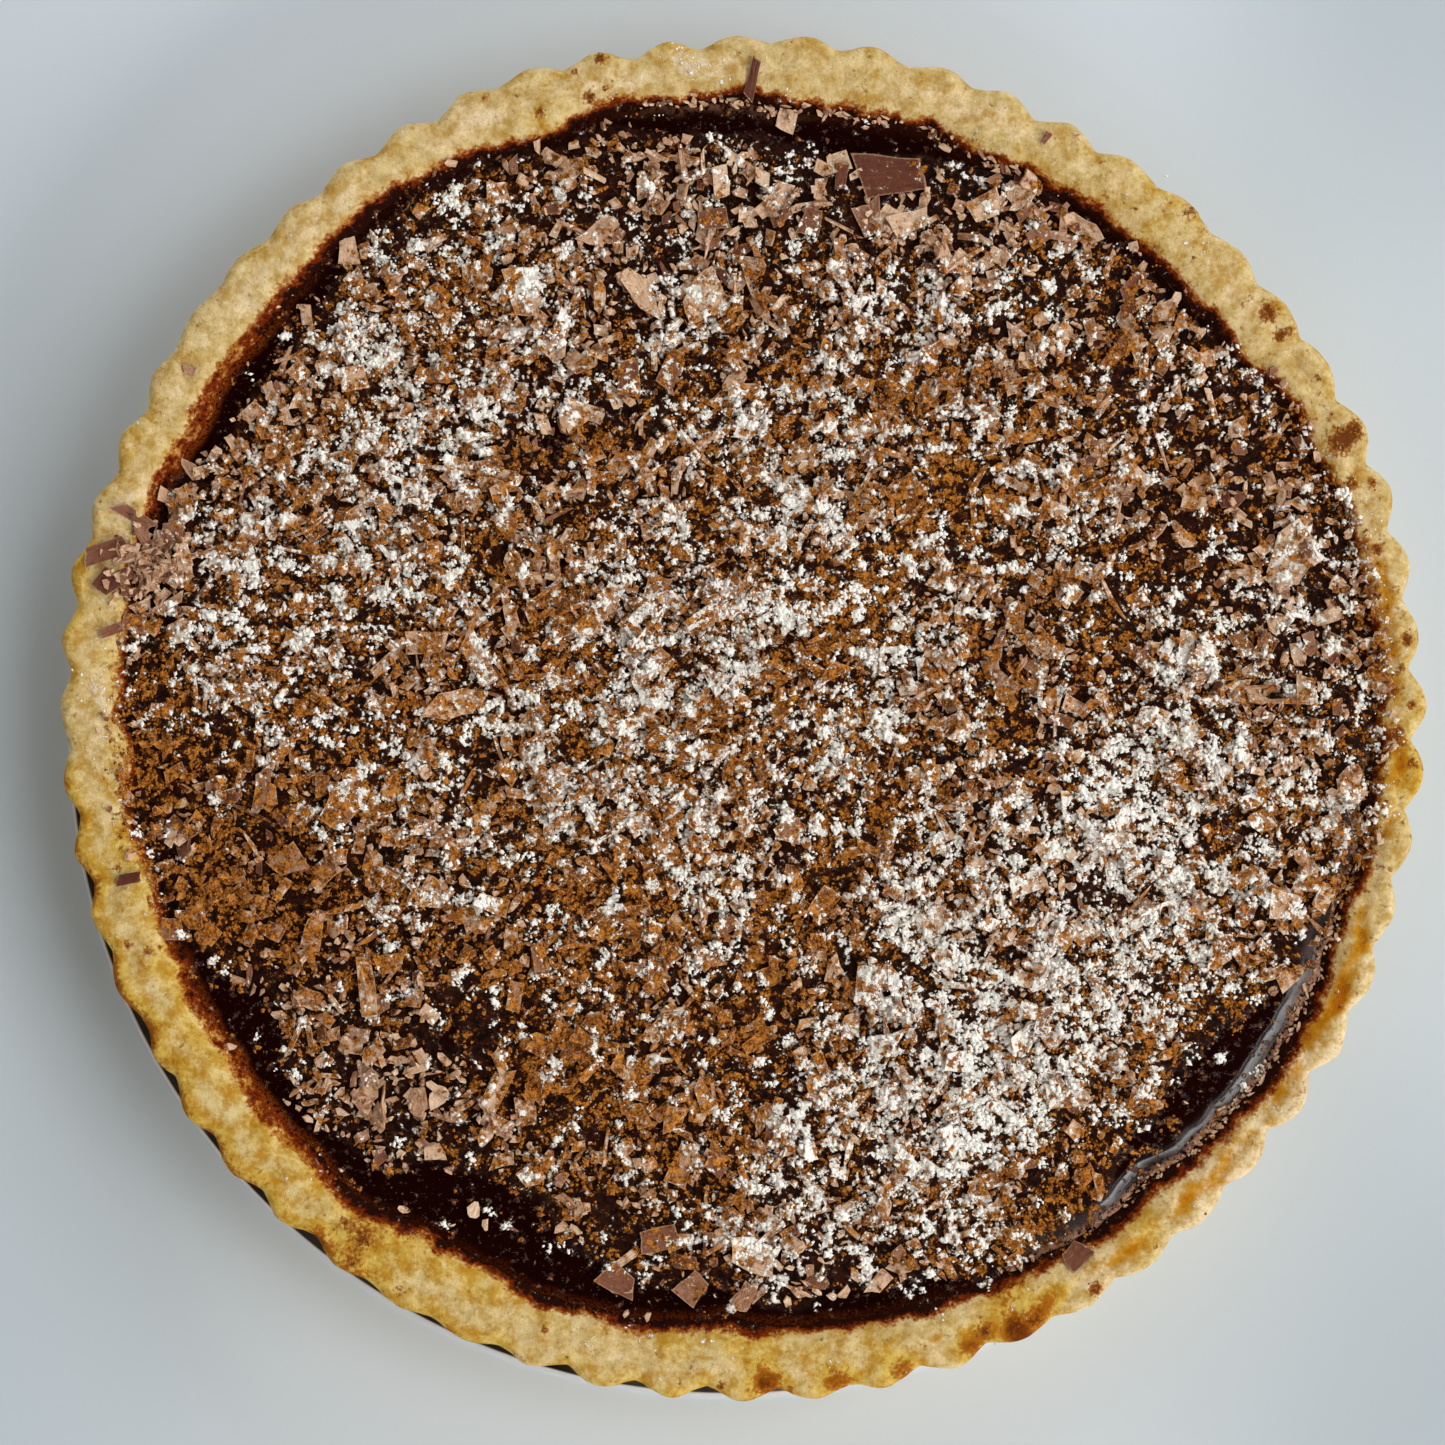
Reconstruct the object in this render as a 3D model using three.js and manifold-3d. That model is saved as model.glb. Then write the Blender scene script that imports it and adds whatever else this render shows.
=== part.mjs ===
// A whole chocolate tart, 28 cm across: a fluted shortcrust case filled with dark ganache and
// scattered with chocolate shavings, still on the loose steel base of the tin it was baked in.
// Millimetres, +Z up. The origin is on the underside of the tin base, on the axis of the case.
import * as THREE from "three";
import { mergeVertices } from "three/addons/utils/BufferGeometryUtils.js";
import Module from "manifold-3d";

const wasm = await Module();
wasm.setup();

// Driving dimensions of the case.
const RIM_DIAMETER = 280;
const CASE_HEIGHT = 28;
const FLUTES = 60;
const FLUTE_DEPTH = 2.4;
const WALL_TAPER = 5;
const RIM_WIDTH = 10.1;
const BASE_THICKNESS = 4.5;
const INNER_DRAFT = 4.5;

// How the rim widens and narrows round the case: waves in a turn, size, and a crest in degrees.
const RIM_SWELLS = [
  { waves: 1, size: 1.4, at: 182 },
  { waves: 2, size: 1.85, at: 68 },
  { waves: 3, size: 0.6, at: 49 },
  { waves: 5, size: 0.3, at: 56 },
];

// The tin base, and how far the case has slid on it.
const TIN_RADIUS = 138.6;
const TIN_THICKNESS = 0.75;
const TIN_OFFSET = { x: -2.65, y: -3.7 };

// The filling stands a little below the rim, and the shavings lie about 1 mm deep on it.
const GANACHE_BELOW_RIM = 3.8;
const TOPPING_DEPTH = 1.1;
const MOUND_SPACING = 20;
const FITTING_GAP = 0.3;

// Facets round each surface.
const STEPS_PER_FLUTE = 5;
const CASE_STEPS = FLUTES * STEPS_PER_FLUTE;
const FILLING_STEPS = 96;
const FILLING_RINGS = 9;

// Shavings fused to the filling, largest first.
const SHAVING_CLASSES = [
  { count: 14, length: [10, 14], width: [6, 9], spacing: 24 },
  { count: 46, length: [6, 10], width: [3, 5.5], spacing: 12 },
  { count: 72, length: [4, 6], width: [2.4, 4], spacing: 8.5 },
];
const SHAVING_RISE = [0.7, 1.9];
const SHAVING_TILT = 0.22;
const SHAVING_ROOT = 2.5;

// Stretches of bare ganache along the rim: their middle and spread in degrees, and their width.
const BARE_STRETCHES = [
  { at: 90, spread: 16, width: 9 },
  { at: 137, spread: 15, width: 6 },
  { at: 211, spread: 9, width: 11 },
  { at: 243, spread: 13, width: 15 },
  { at: 282, spread: 9, width: 8 },
  { at: 322, spread: 14, width: 13 },
  { at: 408, spread: 12, width: 4 },
];
const BARE_FADE = 6;

// Shavings that fell on the rim: angle in degrees, distance from the axis, size, heading, rise.
const RIM_SHAVINGS = [
  { at: 163.2, from_axis: 134.2, length: 9, width: 3.0, heading: 150, rise: 1.6 },
  { at: 165.6, from_axis: 136.2, length: 8, width: 4.2, heading: 205, rise: 1.9 },
  { at: 165.0, from_axis: 131.2, length: 8, width: 5.0, heading: 70, rise: 2.6 },
  { at: 167.4, from_axis: 134.4, length: 5.5, width: 4.0, heading: 40, rise: 1.8 },
  { at: 168.0, from_axis: 131.0, length: 7, width: 2.4, heading: 170, rise: 1.5 },
  { at: 172.3, from_axis: 132.0, length: 5, width: 2.6, heading: 20, rise: 0.9 },
  { at: 89.2, from_axis: 132.4, length: 7, width: 2.2, heading: 80, rise: 1.4 },
  { at: 194.4, from_axis: 131.4, length: 5.5, width: 2.8, heading: 15, rise: 1.0 },
  { at: 301.8, from_axis: 132.6, length: 6, width: 5.0, heading: 45, rise: 1.2 },
  { at: 64.3, from_axis: 134.6, length: 3.2, width: 1.8, heading: 60, rise: 0.8 },
];

const CASE_BOTTOM = TIN_THICKNESS;
const RIM_LEVEL = CASE_BOTTOM + CASE_HEIGHT;
const CASE_FLOOR = CASE_BOTTOM + BASE_THICKNESS;
const GANACHE_LEVEL = RIM_LEVEL - GANACHE_BELOW_RIM;
const OPENING_RADIUS = (RIM_DIAMETER - FLUTE_DEPTH) / 2 - RIM_WIDTH;

const radians = THREE.MathUtils.degToRad;

// A seeded random number generator (mulberry32), so that every build is the same.
function seededRandom(seed) {
  let state = seed;
  return () => {
    state = (state + 0x6d2b79f5) | 0;
    let t = Math.imul(state ^ (state >>> 15), 1 | state);
    t = (t + Math.imul(t ^ (t >>> 7), 61 | t)) ^ t;
    return ((t ^ (t >>> 14)) >>> 0) / 4294967296;
  };
}

const between = (random, [low, high]) => low + (high - low) * random();

// A smooth uneven wave round the tart, of the harmonics given, with a peak near the amplitude.
function unevenWave(seed, amplitude, harmonics) {
  const random = seededRandom(seed);
  const terms = harmonics.map((order) => ({ order, phase: random() * 2 * Math.PI }));
  const scale = amplitude / Math.sqrt(harmonics.length);
  return (angle) =>
    scale * terms.reduce((sum, t) => sum + Math.cos(t.order * angle + t.phase), 0);
}

const outlineWave = unevenWave(11, 0.45, [3, 4, 6, 8, 12, 13]);
const openingWave = unevenWave(23, 0.9, [7, 9, 11, 14, 16]);
const rimHeightWave = unevenWave(37, 0.55, [2, 5, 9, 17, 23]);
const fluteDepthWave = unevenWave(41, 0.2, [4, 7, 11, 19]);

// The flutes are a little uneven in pitch, as the tin's are.
function fluteLobe(angle) {
  const drift = radians(1.2) - radians(0.9) * (1 - Math.cos(angle - radians(15)));
  const turn = (FLUTES * (angle - drift)) / 2;
  return 2 * Math.abs(Math.cos(turn)) - 1;
}

// Distance from the axis to the fluted outside of the case, at a share of its height.
function outerRadius(angle, share) {
  const depth = FLUTE_DEPTH * (1 + fluteDepthWave(angle));
  const crest = RIM_DIAMETER / 2 - WALL_TAPER * (1 - share);
  return crest - depth / 2 + (depth / 2) * fluteLobe(angle) + outlineWave(angle);
}

// Distance from the axis to the inside of the case where the filling meets it at that height.
function innerRadius(angle, z) {
  const swelling = RIM_SWELLS.reduce(
    (sum, swell) => sum + swell.size * Math.cos(swell.waves * (angle - radians(swell.at))),
    0,
  );
  const draft = (INNER_DRAFT * (GANACHE_LEVEL - z)) / (GANACHE_LEVEL - CASE_FLOOR);
  return OPENING_RADIUS - swelling + openingWave(angle) - draft;
}

// The rim's section from the outside inwards: share of the rim's width, and height on the rim.
const RIM_SECTION = [
  { across: 0.0, rise: -1.6 },
  { across: 0.13, rise: -0.2 },
  { across: 0.42, rise: 0.35 },
  { across: 0.78, rise: -0.35 },
  { across: 1.0, rise: -2.0 },
];

function point(angle, radius, z) {
  return [radius * Math.cos(angle), radius * Math.sin(angle), z];
}

// A closed surface made of rings of points, with a point on the axis at each end.
function ringSolid(rings, startPoint, endPoint) {
  const steps = rings[0].length;
  const positions = [startPoint, ...rings.flat(), endPoint];
  const end = positions.length - 1;
  const at = (ring, step) => 1 + ring * steps + (step % steps);
  const faces = [];
  for (let i = 0; i < steps; i++) {
    faces.push(0, at(0, i + 1), at(0, i));
    for (let r = 0; r < rings.length - 1; r++) {
      faces.push(at(r, i), at(r, i + 1), at(r + 1, i + 1));
      faces.push(at(r, i), at(r + 1, i + 1), at(r + 1, i));
    }
    faces.push(end, at(rings.length - 1, i), at(rings.length - 1, i + 1));
  }
  const geometry = new THREE.BufferGeometry();
  geometry.setAttribute("position", new THREE.Float32BufferAttribute(positions.flat(), 3));
  geometry.setIndex(faces);
  return geometry;
}

function ringOf(steps, radiusAt, heightAt) {
  return Array.from({ length: steps }, (_, i) => {
    const angle = (i / steps) * 2 * Math.PI;
    return point(angle, radiusAt(angle), heightAt(angle));
  });
}

// A three.js geometry as a manifold-3d solid, and back.
function toSolid(geometry) {
  const bare = geometry.clone();
  bare.deleteAttribute("normal");
  bare.deleteAttribute("uv");
  const merged = mergeVertices(bare, 1e-4);
  return new wasm.Manifold(
    new wasm.Mesh({
      numProp: 3,
      vertProperties: new Float32Array(merged.attributes.position.array),
      triVerts: new Uint32Array(merged.index.array),
    }),
  );
}

function toGeometry(solid) {
  const mesh = solid.getMesh();
  const geometry = new THREE.BufferGeometry();
  geometry.setAttribute("position", new THREE.BufferAttribute(mesh.vertProperties, mesh.numProp));
  geometry.setIndex(new THREE.BufferAttribute(mesh.triVerts, 1));
  return geometry.toNonIndexed();
}

// One chocolate shaving: an uneven five- or six-sided chip, longer along its heading, with a
// sloping top. Its root runs down into what it lies on.
function shaving({ x, y, base, length, width, heading, rise, slope, slopeHeading, corners, random }) {
  const outline = new THREE.Shape();
  for (let i = 0; i < corners; i++) {
    const turn = ((i + 0.35 * (random() - 0.5)) / corners) * 2 * Math.PI;
    const reach = 0.5 * (0.82 + 0.36 * random());
    const px = length * reach * Math.cos(turn);
    const py = width * reach * Math.sin(turn);
    if (i === 0) outline.moveTo(px, py);
    else outline.lineTo(px, py);
  }
  const geometry = new THREE.ExtrudeGeometry(outline, {
    depth: SHAVING_ROOT + rise,
    bevelEnabled: false,
    steps: 1,
  });
  geometry.rotateZ(heading);
  const position = geometry.attributes.position;
  for (let i = 0; i < position.count; i++) {
    if (position.getZ(i) < SHAVING_ROOT / 2) continue;
    const along =
      position.getX(i) * Math.cos(slopeHeading) + position.getY(i) * Math.sin(slopeHeading);
    position.setZ(i, position.getZ(i) + Math.max(slope * along, 0.3 - rise));
  }
  geometry.translate(x, y, base - SHAVING_ROOT);
  return geometry;
}

// How much topping lies at a place: 1 where it covers the ganache, 0 on the bare stretches.
function toppingCover(angle, radius) {
  const degrees = THREE.MathUtils.euclideanModulo(THREE.MathUtils.radToDeg(angle), 360);
  let bare = 1.5;
  for (const stretch of BARE_STRETCHES) {
    for (const turn of [-360, 0, 360]) {
      const away = (degrees + turn - stretch.at) / stretch.spread;
      bare += stretch.width * Math.exp(-away * away);
    }
  }
  const fromEdge = innerRadius(angle, GANACHE_LEVEL) - radius;
  return THREE.MathUtils.smoothstep(fromEdge, bare - BARE_FADE / 2, bare + BARE_FADE / 2);
}

const moundWaveAcross = unevenWave(53, 1, [1, 2, 3]);
const moundWaveAlong = unevenWave(59, 1, [1, 2, 3]);

// Height of the filling's own surface: flat ganache, with the uneven bed of topping on it.
function fillingLevel(x, y) {
  const angle = Math.atan2(y, x);
  const radius = Math.hypot(x, y);
  const across = moundWaveAcross((x + 0.4 * y) / MOUND_SPACING);
  const along = moundWaveAlong((y - 0.3 * x) / MOUND_SPACING);
  const uneven = 1 + 0.3 * (across + along);
  return GANACHE_LEVEL + TOPPING_DEPTH * toppingCover(angle, radius) * uneven;
}

// The fluted case, as one surface: underside, outer wall, rounded rim, inner wall and floor.
function caseGeometry(random) {
  const rimTop = (angle) => RIM_LEVEL + rimHeightWave(angle);
  const acrossRim = (angle, share) =>
    THREE.MathUtils.lerp(
      outerRadius(angle, 1),
      innerRadius(angle, GANACHE_LEVEL) + 0.35,
      share,
    );
  const wallShares = [0.04, 0.5, 0.84];
  const rings = [
    ringOf(CASE_STEPS, (a) => outerRadius(a, 0) - 0.9, () => CASE_BOTTOM),
    ...wallShares.map((share) =>
      ringOf(CASE_STEPS, (a) => outerRadius(a, share), () => CASE_BOTTOM + share * CASE_HEIGHT),
    ),
    ...RIM_SECTION.map(({ across, rise }) =>
      ringOf(CASE_STEPS, (a) => acrossRim(a, across), (a) => rimTop(a) + rise + 0.25 * (random() - 0.5)),
    ),
    ringOf(CASE_STEPS, (a) => innerRadius(a, GANACHE_LEVEL), () => GANACHE_LEVEL),
    ringOf(CASE_STEPS, (a) => innerRadius(a, CASE_FLOOR), () => CASE_FLOOR),
  ];
  return ringSolid(rings, [0, 0, CASE_BOTTOM], [0, 0, CASE_FLOOR]);
}

// The case with the shavings that fell on its rim.
function pastryCase() {
  const random = seededRandom(71);
  const body = toSolid(caseGeometry(random));
  const chips = RIM_SHAVINGS.map((chip) => {
    const angle = radians(chip.at);
    const rimShare = (outerRadius(angle, 1) - chip.from_axis) / RIM_WIDTH;
    return toSolid(
      shaving({
        x: chip.from_axis * Math.cos(angle),
        y: chip.from_axis * Math.sin(angle),
        base: RIM_LEVEL + rimHeightWave(angle) - 0.6 * rimShare,
        length: chip.length,
        width: chip.width,
        heading: radians(chip.heading),
        rise: chip.rise,
        slope: SHAVING_TILT * (random() - 0.5),
        slopeHeading: random() * 2 * Math.PI,
        corners: 5,
        random,
      }),
    );
  });
  return toGeometry(wasm.Manifold.union([body, ...chips]).subtract(fillingRoom()));
}

// The space that the filling fills, with the gap round it, from the case's floor upwards.
function fillingRoom() {
  const top = RIM_LEVEL + 8;
  const reach = (angle, z) => innerRadius(angle, Math.min(z, GANACHE_LEVEL)) - FITTING_GAP / 2;
  const room = ringSolid(
    [CASE_FLOOR + FITTING_GAP / 2, GANACHE_LEVEL, top].map((z) =>
      ringOf(CASE_STEPS, (a) => reach(a, z), () => z),
    ),
    [0, 0, CASE_FLOOR + FITTING_GAP / 2],
    [0, 0, top],
  );
  return toSolid(room);
}

// The ganache without its shavings.
function fillingCore() {
  const bottom = CASE_FLOOR + FITTING_GAP;
  const reach = (angle, z) => innerRadius(angle, z) - FITTING_GAP;
  const topRings = Array.from({ length: FILLING_RINGS }, (_, i) => {
    const share = 1 - (i / FILLING_RINGS) ** 1.15;
    return Array.from({ length: FILLING_STEPS }, (_, j) => {
      const angle = (j / FILLING_STEPS) * 2 * Math.PI;
      const radius = reach(angle, GANACHE_LEVEL) * share;
      const [x, y] = point(angle, radius, 0);
      return [x, y, i === 0 ? GANACHE_LEVEL : fillingLevel(x, y)];
    });
  });
  return ringSolid(
    [ringOf(FILLING_STEPS, (a) => reach(a, bottom), () => bottom), ...topRings],
    [0, 0, bottom],
    [0, 0, fillingLevel(0, 0)],
  );
}

// Places for the shavings: drawn at random where topping lies, and kept apart by their spacing.
function shavingPlaces(random) {
  const places = [];
  for (const { count, length, width, spacing } of SHAVING_CLASSES) {
    let made = 0;
    for (let tries = 0; made < count && tries < 6000; tries++) {
      const angle = random() * 2 * Math.PI;
      const radius = OPENING_RADIUS * Math.sqrt(random());
      const size = between(random, length);
      const margin = size / 2 + 1.4;
      const [x, y] = point(angle, radius, 0);
      const fits = radius + margin < innerRadius(angle, GANACHE_LEVEL);
      const covered = toppingCover(angle, radius) > 0.25 + 0.5 * random();
      const apart = places.every((p) => Math.hypot(p.x - x, p.y - y) > (spacing + p.spacing) / 2);
      if (!fits || !covered || !apart) continue;
      places.push({ x, y, length: size, width: between(random, width), spacing });
      made++;
    }
  }
  return places;
}

// The ganache filling with the larger shavings fused to it.
function ganacheFilling() {
  const random = seededRandom(97);
  const chips = shavingPlaces(random).map((place) =>
    toSolid(
      shaving({
        ...place,
        base: fillingLevel(place.x, place.y),
        heading: random() * 2 * Math.PI,
        rise: between(random, SHAVING_RISE),
        slope: SHAVING_TILT * random(),
        slopeHeading: random() * 2 * Math.PI,
        corners: random() < 0.5 ? 5 : 4,
        random,
      }),
    ),
  );
  return toGeometry(wasm.Manifold.union([toSolid(fillingCore()), ...chips]));
}

// The loose base of the tin: a plain thin steel disc.
function tinBase() {
  const disc = new THREE.CylinderGeometry(TIN_RADIUS, TIN_RADIUS, TIN_THICKNESS, 120, 1);
  disc.rotateX(Math.PI / 2);
  return disc;
}

const MATERIALS = {
  pastry: new THREE.MeshStandardMaterial({ color: 0xdcb469, roughness: 0.85, metalness: 0 }),
  ganache: new THREE.MeshStandardMaterial({ color: 0x4a2a1b, roughness: 0.55, metalness: 0 }),
  steel: new THREE.MeshStandardMaterial({ color: 0x4b4644, roughness: 0.4, metalness: 0.9 }),
};

function namedMesh(name, geometry, material) {
  const mesh = new THREE.Mesh(geometry, material);
  mesh.name = name;
  return mesh;
}

const tart = new THREE.Group();
const base = namedMesh("tin_base", tinBase(), MATERIALS.steel);
base.position.set(TIN_OFFSET.x, TIN_OFFSET.y, TIN_THICKNESS / 2);
tart.add(base);
tart.add(namedMesh("pastry_case", pastryCase(), MATERIALS.pastry));
tart.add(namedMesh("ganache_filling", ganacheFilling(), MATERIALS.ganache));

export default tart;
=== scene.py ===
"""A whole chocolate tart on the loose base of its tin, seen from straight above.

The fluted pastry case, the glossy ganache and what is scattered on it are made here as fine
meshes: chips and flakes of chocolate, lumps of cocoa and lumps of icing sugar. Sizes are in
millimetres until a mesh is made, colours of materials are sRGB from 0 to 255 until a node gets
them, and all randomness is seeded.
"""

import math

import bpy
import numpy as np
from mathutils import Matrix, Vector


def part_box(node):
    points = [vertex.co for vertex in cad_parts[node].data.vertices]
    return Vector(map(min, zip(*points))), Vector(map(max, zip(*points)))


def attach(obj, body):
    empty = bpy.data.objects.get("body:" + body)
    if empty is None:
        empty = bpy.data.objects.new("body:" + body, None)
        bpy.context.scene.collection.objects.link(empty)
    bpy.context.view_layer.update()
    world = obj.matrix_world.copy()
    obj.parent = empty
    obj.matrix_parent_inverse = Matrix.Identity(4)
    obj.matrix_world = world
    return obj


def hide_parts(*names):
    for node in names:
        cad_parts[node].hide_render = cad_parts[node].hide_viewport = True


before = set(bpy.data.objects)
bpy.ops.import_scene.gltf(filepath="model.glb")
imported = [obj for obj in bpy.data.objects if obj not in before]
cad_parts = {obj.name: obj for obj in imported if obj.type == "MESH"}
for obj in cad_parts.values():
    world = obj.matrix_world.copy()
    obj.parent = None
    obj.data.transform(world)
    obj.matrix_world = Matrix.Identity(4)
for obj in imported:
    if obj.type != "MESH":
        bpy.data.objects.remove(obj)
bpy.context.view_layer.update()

MM = 0.001
TAU = 2 * math.pi

# The middle and radius of the tin's loose base, from the frame, in metres.
TIN_LOW, TIN_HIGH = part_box("tin_base")
TIN_CENTRE = ((TIN_LOW[0] + TIN_HIGH[0]) / 2, (TIN_LOW[1] + TIN_HIGH[1]) / 2)
TIN_RADIUS = (TIN_HIGH[0] - TIN_LOW[0]) / 2

# The picture's scale at the rim, and the axis of the tart in the picture.
PICTURE_SIDE = 1445
MM_PER_PX = 0.2047
AXIS_PX = (742.1, 717.6)
CAMERA_ABOVE_RIM = 1135.0
SENSOR = 36.0

# The case, as in the CAD.
RIM_RADIUS = 140.0
FLUTES = 60
FLUTE_DEPTH = 2.4
WALL_TAPER = 5.0
CASE_BOTTOM = 0.75
CASE_HEIGHT = 28.0
RIM_LEVEL = CASE_BOTTOM + CASE_HEIGHT
CASE_FLOOR = CASE_BOTTOM + 4.5
GANACHE_LEVEL = RIM_LEVEL - 3.8
RIM_WIDTH = 10.1
RIM_SWELLS = [(1, 1.4, 182), (2, 1.85, 68), (3, 0.6, 49), (5, 0.3, 56)]
OPENING_RADIUS = RIM_RADIUS - FLUTE_DEPTH / 2 - RIM_WIDTH

# The height that no shaving passes, and how far out the topping can fall.
TOPMOST = RIM_LEVEL + 2.3
STREWN_RADIUS = 134.0

# How fine the meshes are round the tart, the seed of the topping and the most lumps of a powder.
PASTRY_STEPS = 1500
GANACHE_STEPS = 540
TOPPING_SEED = 2024
MOST_LUMPS = 24000

# Heights on the outer wall as shares of the case's, and places across the rim from its outer
# edge to the opening. Then distances inward down the slope, and depths below the rim with theirs.
WALL_SHARES = (0.0, 0.02, 0.08, 0.2, 0.34, 0.48, 0.62, 0.75, 0.86)
RIM_SHARES = (0.0, 0.02, 0.045, 0.08, *np.linspace(0.125, 0.875, 16), 0.925, 0.965, 1.0)
SLOPE_INSETS = (0.35, 0.7, 1.1, 1.5, 1.9, 2.4, 2.9)
INNER_WALL = ((7.5, 3.1), (20.0, 5.0), (RIM_LEVEL - CASE_FLOOR, 6.5))

# Arcs round the tart: middle and spread in degrees, and size. Where the outline bulges or is
# pressed in, and how wide the bare ganache along the rim is, both in mm. Where the topping
# spills onto the rim, in mm. Where the pastry is more or less brown.
OUTLINE_BUMPS = [
    (20, 8, 1.1), (60, 9, -0.8), (92, 7, -0.7), (139, 15, -0.9), (165, 9, 0.9), (203, 12, -0.7),
    (232, 10, -0.5), (285, 12, 0.9), (322, 9, -0.7), (342, 6, -0.3), (208.3, 1.5, -1.3),
]
BARE_STRETCHES = [
    (88, 20, 7.5), (137, 14, 5), (211, 10, 12), (150, 9, 5), (268, 8, 5), (244, 14, 18), (283, 9, 7),
    (322, 15, 16), (48, 12, 3),
]
SPILLS = [(10, 20, 5.5), (-14, 9, 2.5), (186, 17, 4.5)]
BROWNER_ARCS = [
    (225, 34, 0.22), (88, 16, 0.1), (20, 14, 0.2), (274, 16, -0.1), (10, 7, -0.25), (-3, 7, 0.55),
    (180, 30, 0.12),
]

# Round patches, as x, y and radius in the picture's pixels, and strength: holes in the topping,
# places with more or less of it, and shavings with hardly any powder on them.
BARE_PATCHES = [
    (560, 430, 35, 0.4), (1250, 480, 50, 0.45), (1130, 330, 40, 0.25), (250, 1015, 45, 0.8),
    (445, 1035, 32, 0.75), (425, 1175, 40, 0.7), (560, 440, 30, 0.5), (655, 425, 26, 0.5),
    (1065, 730, 26, 0.5), (505, 935, 24, 0.5), (850, 135, 50, 0.8),
]
THICK_PATCHES = [
    (465, 950, 40, 0.35), (315, 855, 50, 0.3), (535, 235, 40, 0.35), (1060, 570, 60, 0.3),
    (140, 600, 40, 0.4), (620, 350, 60, 0.1), (1080, 700, 50, 0.2), (1250, 640, 40, 0.2), (220, 990, 40, 0.4),
    (700, 1000, 40, 0.25), (240, 830, 50, -0.25), (650, 1150, 60, -0.2), (1330, 640, 60, 0.25),
    (400, 1085, 75, 0.35), (760, 1215, 80, 0.35), (700, 210, 90, 0.25), (1000, 235, 80, 0.25),
    (370, 960, 70, 0.4), (330, 430, 100, 0.25), (350, 560, 70, 0.25), (480, 600, 50, 0.35),
    (250, 480, 60, 0.25), (620, 250, 70, 0.3), (790, 450, 70, 0.35), (940, 370, 50, 0.3),
    (700, 640, 60, 0.35), (900, 740, 60, 0.35), (1040, 700, 60, 0.3), (570, 820, 60, 0.3),
    (700, 930, 40, 0.3), (1150, 900, 70, 0.25), (420, 790, 50, 0.2), (1130, 350, 70, 0.2),
    (1200, 450, 90, 0.35), (1290, 500, 60, 0.2), (500, 430, 50, -0.2), (200, 820, 60, -0.3),
    (530, 930, 50, -0.35), (480, 1100, 60, -0.35), (600, 1160, 70, -0.35), (790, 900, 40, -0.3),
    (850, 1280, 60, -0.3), (1060, 760, 40, -0.3), (1170, 1120, 60, -0.3),
]
CLEAN_PATCHES = [
    (150, 565, 45, 0.75), (640, 285, 50, 0.7), (400, 1090, 85, 0.9), (700, 170, 120, 0.5),
    (960, 200, 110, 0.6), (885, 178, 42, 0.8), (640, 1260, 70, 0.7), (810, 1290, 60, 0.5),
]

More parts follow.
